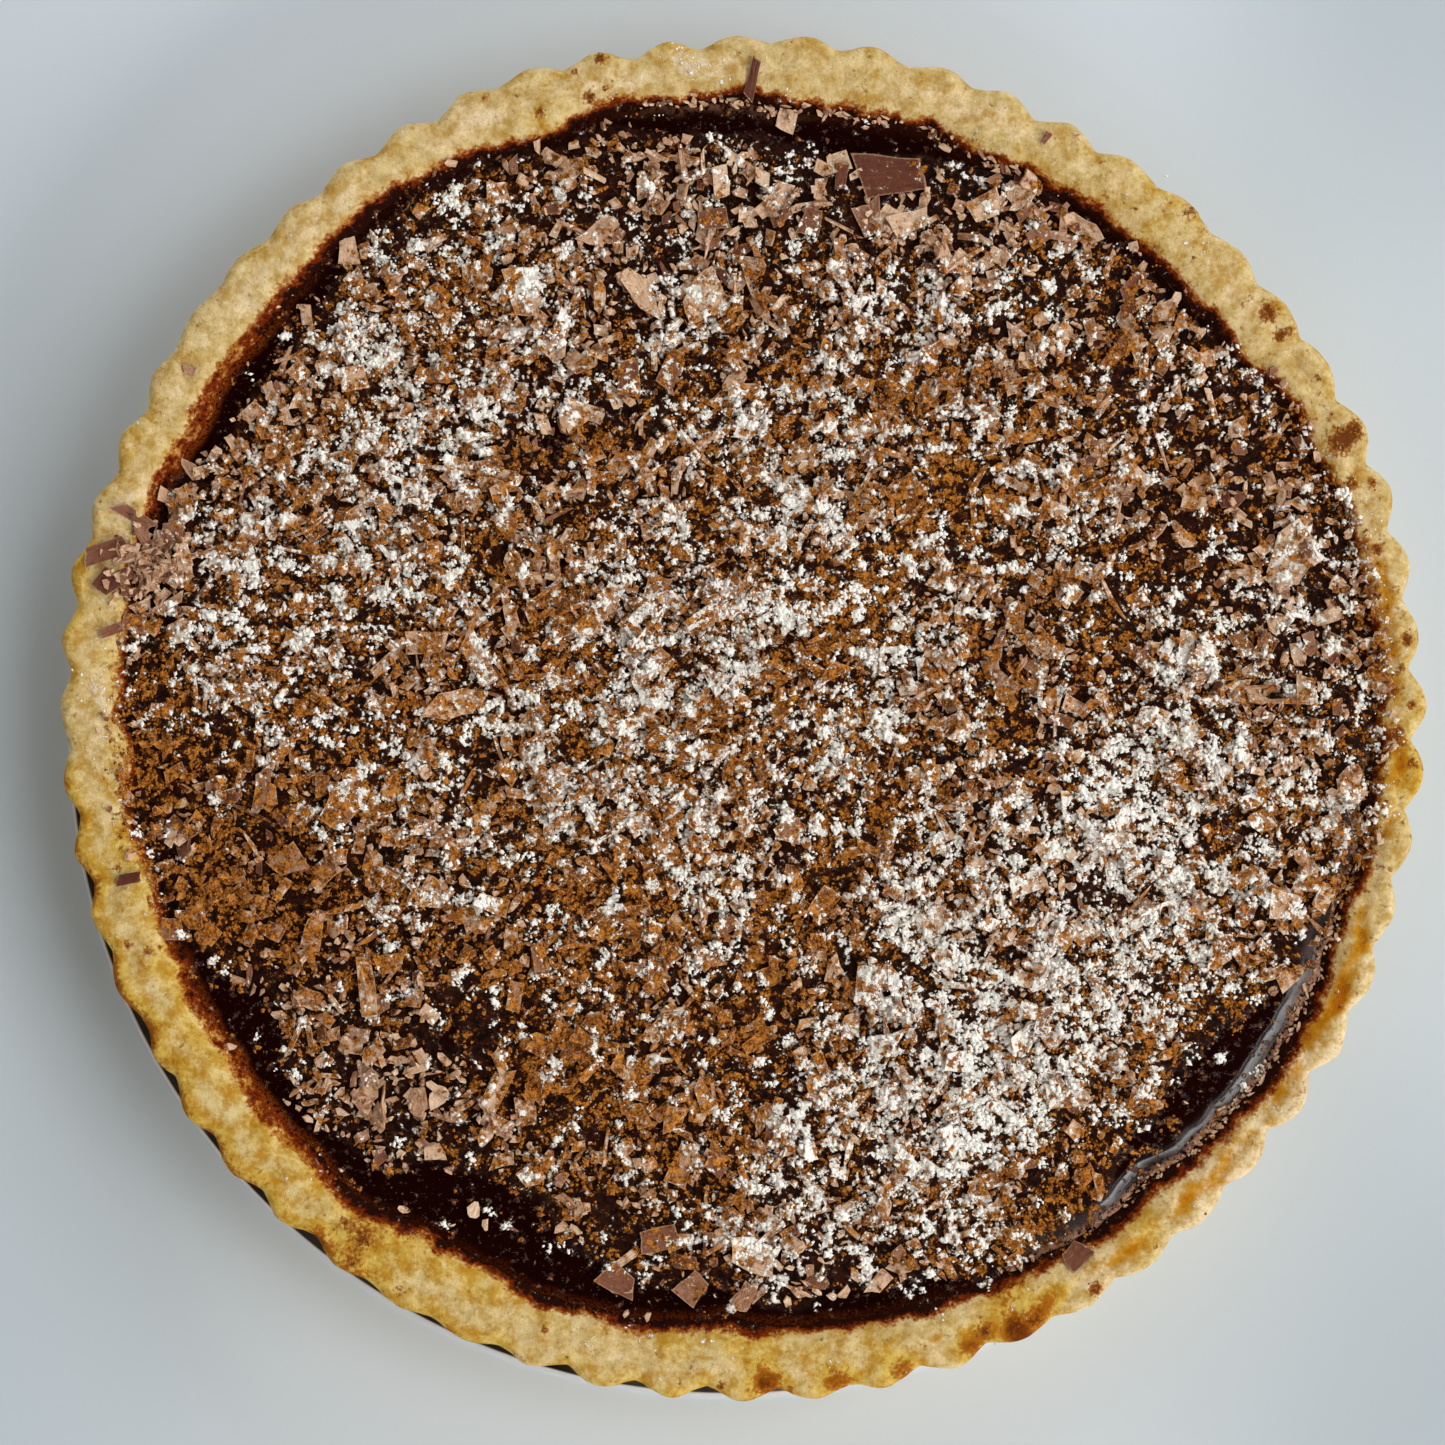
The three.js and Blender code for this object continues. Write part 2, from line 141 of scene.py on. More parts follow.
# Streaks of powder, as x, y, half length and half width in pixels, strength and, where it
# isn't 0, turn in degrees.
SUGAR_STREAKS = [
    (1390, 720, 30, 50, 0.1), (150, 760, 50, 90, -0.12), (250, 950, 110, 90, -0.06),
    (395, 345, 50, 40, -0.12), (860, 560, 40, 50, -0.12), (890, 780, 30, 50, -0.12),
    (1035, 1115, 60, 40, -0.14), (1180, 1030, 50, 40, -0.1), (1210, 530, 60, 50, -0.1),
    (310, 780, 50, 40, -0.08), (770, 1010, 40, 70, -0.1), (620, 660, 50, 40, -0.08), (165, 540, 30, 50, -0.1),
    (915, 650, 40, 90, 0.12), (800, 775, 40, 30, 0.1), (450, 810, 80, 50, 0.07), (1270, 850, 40, 40, 0.14),
    (310, 540, 70, 40, 0.07), (650, 1030, 50, 40, 0.08), (860, 950, 40, 50, 0.08), (1010, 960, 50, 60, 0.08),
    (900, 210, 90, 60, 0.05), (120, 680, 30, 40, 0.1), (145, 560, 40, 70, -0.06), (1300, 880, 50, 70, -0.08),
    (640, 700, 60, 40, 0.16), (870, 740, 90, 40, 0.1), (290, 880, 110, 80, -0.12), (510, 1010, 60, 80, -0.08),
    (570, 1100, 90, 40, -0.08), (720, 1180, 40, 40, -0.1), (870, 980, 40, 40, -0.12),
    (1090, 1200, 60, 40, -0.12), (1180, 470, 90, 30, -0.08), (1260, 650, 60, 40, -0.1),
    (1090, 1040, 60, 50, 0.18), (1160, 940, 50, 60, 0.18), (1100, 850, 60, 30, 0.1),
    (960, 1140, 50, 60, 0.14), (820, 1240, 60, 40, 0.1), (800, 730, 80, 60, 0.12, 50),
    (570, 780, 60, 50, 0.12), (430, 470, 50, 50, 0.1), (350, 500, 80, 120, 0.05), (760, 450, 60, 40, 0.18),
    (950, 400, 80, 60, 0.08), (740, 220, 120, 80, 0.05), (540, 250, 60, 60, 0.05), (690, 940, 30, 30, 0.12),
    (220, 700, 40, 40, 0.08), (960, 1110, 120, 70, 0.42, 45), (1060, 1040, 90, 50, 0.26, 50),
    (1140, 1010, 50, 40, 0.16), (1180, 960, 60, 40, 0.14, 60), (1230, 750, 50, 60, 0.12),
    (1240, 830, 50, 60, 0.09), (1240, 620, 50, 40, 0.1), (670, 370, 60, 80, 0.12), (660, 600, 60, 110, 0.12),
    (880, 600, 80, 60, 0.12), (950, 820, 50, 50, 0.24), (420, 620, 90, 90, 0.08), (400, 800, 100, 60, 0.14),
    (880, 340, 60, 50, 0.1), (940, 980, 130, 80, 0.28, 60), (1130, 850, 130, 75, 0.23, 75),
    (1240, 900, 70, 50, 0.14, 60), (1150, 720, 60, 60, 0.3), (1200, 640, 40, 35, 0.28),
    (800, 1170, 70, 70, 0.1), (760, 1250, 40, 30, 0.14), (780, 570, 130, 38, 0.28, 55),
    (820, 480, 40, 40, 0.12), (690, 700, 110, 42, 0.22, 50), (700, 850, 75, 36, 0.28, 115),
    (880, 700, 150, 30, 0.14, 60), (610, 590, 45, 80, 0.14), (600, 800, 55, 45, 0.18),
    (370, 375, 80, 60, 0.32, 60), (500, 370, 50, 50, 0.12), (430, 250, 45, 45, 0.06),
    (340, 590, 110, 55, 0.18, 60), (220, 550, 60, 60, 0.2), (250, 690, 80, 45, 0.1), (480, 720, 50, 50, 0.12),
    (440, 880, 60, 40, 0.14), (910, 290, 70, 45, 0.26), (650, 270, 60, 50, 0.12), (850, 390, 70, 35, 0.1),
    (1050, 520, 75, 60, 0.12, 60), (1130, 430, 50, 40, 0.04), (1290, 565, 26, 40, 0.14),
    (1330, 700, 30, 90, 0.08), (720, 150, 60, 30, 0.1), (620, 960, 60, 50, 0.08),
]
COCOA_STREAKS = [
    (160, 560, 36, 50, -0.3), (1330, 640, 60, 110, -0.1), (440, 720, 40, 50, -0.12),
    (640, 1040, 40, 40, -0.14), (860, 960, 50, 50, -0.12), (1080, 1190, 40, 30, -0.14),
    (1100, 290, 60, 60, -0.08), (1000, 690, 40, 70, -0.1), (1040, 890, 70, 60, -0.08),
    (600, 890, 60, 60, 0.12), (890, 780, 50, 40, 0.14), (750, 1010, 70, 60, 0.14), (480, 980, 60, 50, 0.1),
    (200, 960, 50, 40, 0.12), (150, 800, 30, 40, 0.14), (770, 400, 50, 70, 0.08), (650, 1255, 40, 40, 0.12),
    (980, 1260, 90, 30, 0.14, 30), (1250, 480, 60, 50, 0.08), (590, 490, 50, 40, 0.08),
    (175, 870, 40, 90, 0.16), (200, 940, 40, 50, 0.2), (450, 450, 80, 60, 0.08),
    (1140, 1150, 80, 30, 0.1, 45), (760, 190, 240, 75, -0.18), (590, 400, 60, 80, -0.1),
    (700, 460, 60, 30, -0.12), (200, 450, 60, 110, -0.16), (790, 690, 40, 50, -0.14),
    (430, 720, 40, 40, -0.1), (1050, 850, 40, 60, -0.1), (1290, 600, 60, 130, -0.14),
    (800, 1285, 120, 40, -0.2), (460, 1250, 70, 30, -0.12), (880, 790, 50, 50, 0.2), (960, 510, 60, 60, 0.12),
    (840, 600, 60, 60, 0.2), (740, 560, 50, 60, 0.16), (640, 860, 70, 90, 0.24), (720, 690, 50, 90, 0.16),
    (780, 900, 40, 70, 0.14), (600, 1110, 60, 50, 0.12), (490, 1000, 80, 50, 0.1), (390, 910, 50, 50, 0.14),
    (450, 570, 60, 40, 0.18), (165, 700, 50, 70, 0.1), (300, 1000, 60, 40, 0.1),
    (1110, 1140, 60, 30, 0.1, 45), (1030, 660, 40, 40, 0.08), (1180, 760, 60, 60, 0.06),
    (340, 470, 60, 40, 0.14), (900, 420, 80, 50, 0.12), (1200, 1040, 40, 50, 0.12), (440, 350, 40, 80, 0.06),
    (930, 480, 75, 50, 0.42, 60), (590, 450, 50, 40, 0.2), (540, 1070, 60, 40, 0.2, 140),
    (210, 680, 70, 80, 0.16), (300, 620, 60, 60, 0.14), (1080, 500, 80, 40, 0.06),
    (870, 1040, 120, 60, 0.12, 60), (1000, 1245, 80, 34, 0.34, 30), (430, 340, 60, 80, 0.1),
    (560, 660, 45, 30, 0.32, 100), (600, 900, 75, 60, 0.5, 100), (580, 1060, 60, 50, 0.42, 140),
    (680, 1110, 90, 40, 0.34, 60), (480, 950, 40, 30, 0.24), (170, 760, 60, 50, 0.2, 90),
    (350, 740, 110, 60, 0.24), (330, 880, 70, 60, 0.08), (850, 620, 120, 40, 0.26, 50),
    (740, 730, 120, 50, 0.24, 50), (820, 900, 160, 40, 0.18, 60), (1100, 620, 70, 38, 0.16, 20),
    (980, 720, 100, 45, 0.1, 30), (720, 500, 70, 30, 0.2, 60), (790, 260, 50, 40, 0.14),
    (450, 270, 30, 25, 0.2), (1130, 300, 50, 40, 0.06), (860, 360, 90, 40, 0.1), (1220, 440, 90, 60, -0.14),
    (1300, 780, 40, 60, 0.12), (1170, 1010, 70, 22, 0.26, 52), (1090, 1200, 110, 40, 0.12, 50),
    (1160, 1090, 60, 28, 0.24, 50), (670, 1260, 30, 50, 0.3), (930, 150, 40, 26, 0.16),
    (260, 560, 60, 60, 0.12),
]

# The notable flakes: x, y, length, width in pixels, heading in degrees, tone from dark to
# pale, curl and thickness in mm.
NOTED_FLAKES = [
    (886, 176, 66, 50, 8, 0.05, 0, 0.9), (912, 218, 42, 24, 12, 0.85, 0.1, 0.8),
    (985, 205, 42, 30, 20, 0.75, 0.1, 0.9), (626, 380, 48, 24, 92, 0.12, 0, 0.8),
    (670, 370, 44, 22, 60, 0.2, 0.1, 0.8), (787, 118, 26, 17, 80, 0.8, 0, 0.7),
    (842, 175, 27, 17, 80, 0.1, 0, 0.7), (714, 215, 34, 26, 10, 0.15, 0.1, 0.8),
    (812, 222, 32, 20, 70, 0.15, 0.1, 0.7), (718, 178, 20, 30, 10, 0.85, 0, 0.7),
    (868, 222, 40, 17, 115, 0.3, 0.3, 0.7), (700, 300, 60, 34, 62, 0.75, 0.5, 0.8),
    (640, 290, 60, 26, 120, 0.7, 0.6, 0.7), (1120, 352, 48, 19, 40, 0.25, 0.1, 0.8),
    (1165, 362, 24, 18, 60, 0.3, 0, 0.6), (1092, 330, 34, 16, 105, 0.35, 0.2, 0.7),
    (1040, 235, 30, 22, 30, 0.3, 0.1, 0.7), (366, 990, 62, 25, 95, 0.78, 0.3, 0.9),
    (388, 962, 40, 24, 10, 0.45, 0.2, 0.8), (312, 935, 40, 22, 80, 0.6, 0.2, 0.7),
    (433, 892, 36, 26, 60, 0.7, 0.3, 0.8), (455, 705, 66, 30, 20, 0.7, 0.5, 0.8),
    (425, 645, 44, 36, 0, 0.62, 0.3, 0.9), (480, 660, 60, 20, 115, 0.6, 0.4, 0.8),
    (600, 610, 70, 26, 55, 0.55, 0.4, 0.9), (655, 590, 44, 20, 65, 0.35, 0.2, 0.8),
    (680, 552, 28, 22, 0, 0.2, 0, 0.7), (750, 470, 26, 34, 20, 0.15, 0, 0.7),
    (1008, 505, 44, 30, 0, 0.72, 0.3, 0.9), (1293, 560, 70, 42, 75, 0.85, 0.6, 1.1),
    (870, 990, 50, 26, 80, 0.45, 0.2, 0.8), (1030, 885, 34, 24, 20, 0.8, 0.2, 0.7),
    (1010, 800, 50, 22, 50, 0.25, 0.2, 0.8), (790, 830, 36, 24, 80, 0.3, 0.2, 0.7),
    (825, 905, 44, 22, 55, 0.3, 0.2, 0.7), (260, 790, 48, 18, 80, 0.35, 0.4, 0.7),
    (288, 860, 40, 30, 30, 0.45, 0.2, 0.7), (340, 810, 46, 34, 60, 0.3, 0.2, 0.7),
    (172, 932, 24, 30, 0, 0.3, 0, 0.7), (495, 1095, 56, 20, 65, 0.8, 0.1, 0.7),
    (540, 960, 36, 18, 100, 0.3, 0.1, 0.7), (634, 1085, 44, 26, 85, 0.7, 0.1, 0.8),
    (706, 1100, 40, 20, 120, 0.45, 0.3, 0.7), (750, 1255, 62, 42, 140, 0.8, 0.8, 0.9),
    (660, 1243, 42, 26, 10, 0.25, 0.1, 0.8), (620, 1285, 40, 28, 150, 0.2, 0.1, 0.8),
    (690, 1290, 36, 26, 50, 0.3, 0.2, 0.8), (745, 1298, 34, 20, 60, 0.35, 0.3, 0.7),
    (680, 1165, 50, 26, 65, 0.5, 0.3, 0.8), (1285, 905, 30, 34, 80, 0.75, 0.3, 0.8),
    (700, 620, 40, 22, 30, 0.4, 0.2, 0.7), (560, 330, 44, 18, 75, 0.4, 0.3, 0.7),
    (520, 290, 50, 34, 100, 0.7, 0.4, 0.8), (600, 230, 40, 22, 40, 0.6, 0.2, 0.8),
]

# Flakes that fell on the rim: x, y, length, width in pixels, heading, tone and lean in degrees.
RIM_FLAKES = [
    (140, 534, 24, 16, 120, 0.3, 4), (106, 551, 46, 23, 16, 0.16, 2), (134, 517, 44, 15, 150, 0.2, 5),
    (107, 582, 27, 24, 50, 0.06, 2), (150, 566, 46, 26, 10, 0.18, 2), (131, 593, 32, 11, 175, 0.12, 3),
    (173, 534, 34, 25, 82, 0.34, 8), (126, 549, 20, 13, 20, 0.66, 6), (138, 557, 44, 9, 14, 0.85, 9),
    (159, 540, 28, 11, 80, 0.9, 10), (120, 577, 13, 11, 60, 0.8, 3), (152, 583, 22, 8, 110, 0.75, 10),
    (163, 572, 24, 10, 65, 0.6, 8), (146, 574, 18, 12, 140, 0.3, 8), (176, 574, 30, 17, 60, 0.6, 5),
    (168, 602, 32, 11, 30, 0.45, 4), (182, 556, 24, 18, 100, 0.7, 5), (132, 622, 26, 22, 70, 0.22, 3),
    (110, 631, 24, 11, 20, 0.2, 0), (752, 79, 44, 12, 80, 0.05, 3), (189, 371, 16, 9, 170, 0.4, 0),
    (130, 878, 28, 15, 14, 0, 4), (1045, 138, 15, 9, 60, 0.25, 0), (1076, 1258, 32, 25, 45, 0.15, 4),
]

# Round patches on the pastry: dark baked specks, spilt sugar and browned places.
SPECKS = [
    (1407, 640, 7, 0.9), (1402, 668, 5, 0.8), (1392, 690, 8, 0.9), (1411, 706, 6, 0.8), (1396, 735, 10, 0.9),
    (1412, 762, 7, 0.8), (600, 58, 6, 1), (575, 72, 4, 0.9), (590, 97, 7, 1), (605, 88, 4, 0.7),
    (540, 112, 6, 0.8), (486, 97, 4, 0.6), (1140, 160, 4, 0.6), (1190, 212, 9, 0.6), (1268, 312, 10, 1),
    (1280, 336, 7, 0.9), (1290, 330, 5, 0.6), (1340, 442, 13, 1.1), (1354, 430, 10, 0.9), (1352, 484, 7, 1),
    (1372, 482, 6, 0.8), (1377, 549, 6, 1), (1365, 540, 4, 0.7), (1396, 588, 4, 0.6), (1380, 610, 5, 0.6),
    (985, 1330, 9, 0.8), (1000, 1352, 8, 0.7), (1095, 1289, 8, 0.9), (721, 1385, 6, 0.7),
    (362, 1237, 13, 0.8), (352, 1262, 9, 0.7), (345, 1222, 9, 0.6), (128, 945, 6, 0.8), (148, 952, 6, 0.7),
    (152, 905, 5, 0.8), (118, 868, 5, 0.6), (400, 1290, 8, 0.5), (790, 1390, 5, 0.6), (545, 1330, 5, 0.6),
]
SUGAR_ON_RIM = [
    (690, 66, 20, 0.9), (674, 52, 12, 0.5), (725, 78, 16, 0.5), (612, 92, 16, 0.3), (662, 108, 12, 0.7),
    (788, 92, 10, 0.5), (96, 690, 14, 0.9), (104, 706, 10, 0.5), (92, 752, 8, 0.6), (82, 660, 16, 0.2),
    (1352, 512, 18, 0.7), (1318, 500, 12, 0.5), (1380, 520, 14, 0.3), (1165, 178, 26, 0.16),
    (1392, 660, 20, 0.4), (1385, 600, 26, 0.2), (1410, 740, 18, 0.2), (1205, 235, 22, 0.2),
    (710, 1340, 8, 0.6), (632, 1330, 12, 0.2), (832, 1358, 10, 0.5),
]
BROWNED = [
    (1010, 1322, 60, 0.5), (968, 1345, 17, 1.3), (985, 1330, 10, 0.8), (1012, 1326, 12, 1.1),
    (1024, 1342, 13, 1.2), (1036, 1318, 13, 1), (1050, 1300, 13, 1), (1066, 1287, 10, 0.8),
    (1010, 1298, 18, 0.5), (765, 1380, 20, 1.15), (838, 1379, 18, 1), (900, 1366, 22, 1),
    (574, 1359, 34, 0.3), (1149, 1232, 26, 0.75), (358, 1245, 40, 0.4), (345, 1225, 60, 0.35),
    (160, 1000, 60, 0.25), (255, 1130, 60, 0.3), (480, 1330, 70, 0.25), (700, 1370, 80, 0.2),
    (850, 1365, 70, 0.25), (110, 880, 50, 0.2), (1180, 220, 50, 0.2), (1340, 960, 50, 0.15),
]

# How powder looks on a surface: its value on the mesh, lumps to a mm, and its dark, pale and
# fringe colours. Then the dark and pale colours of its lumps.
POWDER_LAYERS = [
    ("cocoa", 0.5, (88, 40, 9), (210, 134, 50), (128, 68, 22)),
    ("sugar", 0.62, (248, 238, 220), (255, 254, 248), (226, 182, 138)),
]
COCOA_LUMP = ((110, 56, 14), (196, 124, 46))
SUGAR_LUMP = ((250, 243, 229), (255, 254, 248))

# Chocolate from the darkest tone to the palest.
CHOCOLATE_TONES = [(94, 46, 32), (142, 92, 68), (206, 160, 126), (230, 191, 156), (236, 204, 173)]

# The table top's colours, and round places of painted light and painted shade on it, lighter pools round the
# tart and darker places at the right corners: x, y and radius in mm, how much, and the colour.
TABLE_SIDE = 3.0
TABLE_COLOURS = ((186, 195, 201), (191, 200, 205))
TABLE_PAINTED_LIGHT_AND_SHADE = [
    (-60, 160, 170, 0.9, (210, 218, 225)),
    (0, -160, 170, 0.9, (212, 218, 221)),
    (165, 30, 170, 0.3, (212, 218, 221)),
    (50, 150, 90, 0.65, (212, 220, 228)),
    (80, -120, 70, 0.6, (212, 218, 221)),
    (-60, -135, 70, 0.75, (212, 218, 221)),
    (165, -165, 110, 0.7, (170, 178, 182)),
    (165, 165, 90, 0.5, (170, 178, 182)),
]

# Area lights: name, azimuth and elevation in degrees, width and height in m, power and colour,
# which is linear from 0 to 1. Then the room's light, and its colours level and overhead.
LIGHT_DISTANCE = 2.2
LIGHTS = [
    ("window", 2, 58, 1.32, 1.32, 19.4, (1.0, 0.985, 0.95)),
    ("side", -40, 31, 1.32, 0.52, 13.3, (1.0, 0.99, 0.97)),
    ("low_side", -60, 26, 1.5, 0.7, 15, (1.0, 0.99, 0.98)),
    ("far_side", 74, 27, 1.6, 0.75, 19, (0.97, 0.985, 1.0)),
]
ROOM_STRENGTH = 1.32
ROOM_LEVEL_COLOURS = ((228, 224, 218), (208, 221, 236))
ROOM_TOP_COLOUR = (14, 15, 16)


def at(px, py):
    """Where a point of the picture lies on the tart, in mm from its axis."""
    return (px - AXIS_PX[0]) * MM_PER_PX, (AXIS_PX[1] - py) * MM_PER_PX


def smooth(low, high, value):
    """Goes from 0 to 1 as the value goes from low to high, with soft ends."""
    share = np.clip((value - low) / (high - low), 0, 1)
    return share * share * (3 - 2 * share)


def hump(value, middle, width):
    """1 where the value is the middle one, and less to either side."""
    return np.exp(-(((value - middle) / width) ** 2))


def fading(distance, reach):
    """1 where the distance is 0 or less, and less as it grows."""
    return np.exp(-np.clip(distance, 0, None) / reach)


def lattice(cell, seed):
    """A random number from 0 to 1 for each whole-number cell."""
    mixed = cell[0] * 374761393 + cell[1] * 668265263 + cell[2] * 1442695041 + seed * 974634777
    mixed = np.bitwise_and(mixed, 0xFFFFFFFF)
    mixed = np.bitwise_and((mixed ^ (mixed >> 13)) * 1274126177, 0xFFFFFFFF)
    mixed = np.bitwise_and((mixed ^ (mixed >> 15)) * 2246822519, 0xFFFFFFFF)
    return ((mixed ^ (mixed >> 16)) & 0xFFFFFF) / 0xFFFFFF


def noise(x, y, z, spacing, seed, octaves=1):
    """Smooth uneven values from about -1 to 1, with lumps about as large as the spacing."""
    total, weight = 0.0, 0.0
    for octave in range(octaves):
        size = spacing / 2**octave
        places = [np.asarray(c, float) / size + 17.3 * octave for c in (x, y, z)]
        places = np.broadcast_arrays(*places)
        cells = [np.floor(p).astype(np.int64) for p in places]
        within = [p - c for p, c in zip(places, cells)]
        ease = [w * w * w * (w * (w * 6 - 15) + 10) for w in within]
        value = 0.0
        for corner in range(8):
            step = (corner & 1, corner >> 1 & 1, corner >> 2)
            share = 1.0
            for axis in range(3):
                share = share * (ease[axis] if step[axis] else 1 - ease[axis])
            value = value + share * lattice([c + s for c, s in zip(cells, step)], seed + octave)
        total = total + (2 * value - 1) / 2**octave
        weight += 1 / 2**octave
    return total / weight


def round_patches(x, y, patches):
    """The sum of round patches at places in mm."""
    total = np.zeros(np.broadcast(x, y).shape)
    for px, py, radius, strength in patches:
        cx, cy = at(px, py)
        far = ((x - cx) ** 2 + (y - cy) ** 2) / (radius * MM_PER_PX) ** 2
        total = total + strength * np.exp(-far)
    return total


def streaks(x, y, patches):
    """The sum of streaks at places in mm."""
    total = np.zeros(np.broadcast(x, y).shape)
    for row in patches:
        px, py, long, short, strength, turn = (*row, 0)[:6]
        cx, cy = at(px, py)
        c, s = math.cos(math.radians(turn)), math.sin(math.radians(turn))
        along = ((x - cx) * c + (y - cy) * s) / (long * MM_PER_PX)
        across = ((y - cy) * c - (x - cx) * s) / (short * MM_PER_PX)
        total = total + strength * np.exp(-(along**2) - across**2)
    return total


def wave(angle, seed, size, orders):
    """A smooth uneven wave round the tart."""
    phases = np.random.default_rng(seed).random(len(orders)) * TAU
    return sum(size * np.cos(n * angle + p) for n, p in zip(orders, phases))


def arc(angle, middle, spread):
    """1 at an angle round the tart in degrees, fading over the spread."""
    return hump((np.degrees(angle) - middle + 180) % 360 - 180, 0, spread)


def arcs(angle, table):
    """The sum of the arcs in a table."""
    return sum(size * arc(angle, middle, spread) for middle, spread, size in table)


def flute(angle):
    """1 on the crest of a flute and -1 in the valley between two."""
    drift = math.radians(1.2) - math.radians(0.9) * (1 - np.cos(angle - math.radians(15)))
    turn = FLUTES * (angle - drift)
    soft, crisp = np.cos(turn), 2 * np.abs(np.cos(turn / 2)) - 1
    return soft + (crisp - soft) * (0.35 + 0.6 * arc(angle, -5, 65))


def outer_radius(angle, share):
    """The outline of the case at a share of its height."""
    depth = FLUTE_DEPTH * (0.85 + 0.25 * arc(angle, -5, 65) + wave(angle, 41, 0.13, (4, 7, 11, 19)))
    crest = RIM_RADIUS - WALL_TAPER * (1 - share)
    low_waves = wave(angle, 11, 0.17, (3, 4, 6, 8, 12, 13)) + arcs(angle, OUTLINE_BUMPS)
    return crest - depth / 2 + depth / 2 * flute(angle) + low_waves


def opening_radius(angle):
    """The edge of the opening that the ganache fills."""
    swelling = sum(size * np.cos(n * (angle - math.radians(a))) for n, size, a in RIM_SWELLS)
    ragged = wave(angle, 24, 0.12, (43, 51, 67, 83, 101, 127))
    return OPENING_RADIUS - swelling + wave(angle, 23, 0.35, (7, 9, 11, 14, 16, 25, 34)) + ragged


def shoulder(angle):
    """How far the ganache has drawn away from the pastry at the lower right, from 0 to 1."""
    away = np.abs((np.degrees(angle) + 33 + 180) % 360 - 180)
    return 1 - smooth(20, 33, away)


def ganache_height(x, y):
    """The smooth top of the ganache, with the ridge where it has drawn away."""
    angle, radius = np.arctan2(y, x), np.hypot(x, y)
    inward = opening_radius(angle) - radius
    below = 6.8 + 0.9 * noise(x, y, 0, 14, 60) - inward
    ridge = -0.39 * sum(np.clip(below / 2.4 + off, 0, 1) for off in (-0.14, 0, 0.14)) * shoulder(angle)
    meniscus = 0.12 * fading(inward - 2, 0.8) * (1 - shoulder(angle))
    dips = 0.10 * noise(x, y, 0, 26, 61) + 0.05 * noise(x, y, 0, 9, 62)
    return GANACHE_LEVEL + ridge + meniscus + dips


def inside_topping(x, y):
    """How far in from the topping's edge a place is: at left and right it spills onto the rim."""
    angle = np.arctan2(y, x)
    return opening_radius(angle) + arcs(angle, SPILLS) - np.hypot(x, y)


def strewn(x, y):
    """1 where the topping was strewn and near 0 on the bare ganache along the rim."""
    bare = 0.6 + arcs(np.arctan2(y, x), BARE_STRETCHES)
    ragged = bare + 2.4 * noise(x, y, 0, 9, 71, 2)
    holes = np.clip(1 - round_patches(x, y, BARE_PATCHES), 0.04, 1)
    return smooth(ragged - 1.5, ragged + 4.0, inside_topping(x, y)) * holes


def cover(x, y):
    """How much chocolate is scattered at a place, from 0 on bare ganache to about 1."""
    stray = 0.04 * smooth(-1, 3, inside_topping(x, y))
    gaps = smooth(-0.42, 0.34, noise(x, y, 0, 7, 72, 3)) + round_patches(x, y, THICK_PATCHES)
    return np.clip((stray + 0.96 * strewn(x, y)) * gaps, 0, 1.3)


def powder_cover(x, y, base, most, table, weight, fade, stray, uneven):
    """The share of the surface that a powder covers."""
    inside = smooth(*fade, inside_topping(x, y)) * (stray + (1 - stray) * strewn(x, y))
    size, spacing, seed = uneven
    patchy = 1 + size * noise(x, y, 0, spacing, seed, 2)
    return np.clip((base + weight * streaks(x, y, table)) * patchy * inside, 0, most)


def sugar_cover(x, y):
    return powder_cover(x, y, 0.15, 0.92, SUGAR_STREAKS, 1.3, (-3, 4), 0.1, (0.5, 13, 81))


def cocoa_cover(x, y):
    return powder_cover(x, y, 0.31, 0.95, COCOA_STREAKS, 1.0, (-1, 5), 0.14, (0.6, 9, 91))


def bare_of_powder(x, y):
    """1 except where shavings lie with hardly any powder on them."""
    return np.clip(1 - round_patches(x, y, CLEAN_PATCHES), 0.06, 1)


def level(share):
    """The noise value that a mask has to pass to cover that share of a surface."""
    share = np.clip(share, 0.002, 0.98)
    spread = np.sqrt(-2 * np.log(np.minimum(share, 1 - share)))
    normal = spread - (2.30753 + 0.27061 * spread) / (1 + 0.99229 * spread + 0.04481 * spread**2)
    return 0.5 + 0.085 * np.where(share < 0.5, normal, -normal)


# ---------------------------------------------------------------- meshes


def placed(name, data):
    """A new object in the scene."""
    made = bpy.data.objects.new(name, data)
    bpy.context.scene.collection.objects.link(made)
    return made


def make_mesh(name, points, faces, material, replaces=(), smooth_shaded=True, **values):
    """A mesh object from points in mm and triangles, with values on its points."""
    mesh = bpy.data.meshes.new(name)
    mesh.vertices.add(len(points))
    mesh.vertices.foreach_set("co", (points * MM).astype(np.float32).ravel())
    mesh.loops.add(faces.size)
    mesh.loops.foreach_set("vertex_index", faces.astype(np.int32).ravel())
    mesh.polygons.add(len(faces))
    mesh.polygons.foreach_set("loop_start", np.arange(0, faces.size, 3, dtype=np.int32))
    mesh.polygons.foreach_set("use_smooth", np.full(len(faces), smooth_shaded))
    mesh.update(calc_edges=True)
    mesh.validate()
    for key, value in values.items():
        value = np.asarray(value, np.float32)
        kind, field = ("FLOAT", "value") if value.ndim == 1 else ("FLOAT_VECTOR", "vector")
        mesh.attributes.new(key, kind, "POINT").data.foreach_set(field, value.ravel())
    mesh.materials.append(material)
    piece = placed(name, mesh)
    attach(piece, "root")
    if replaces:
        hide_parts(*replaces)


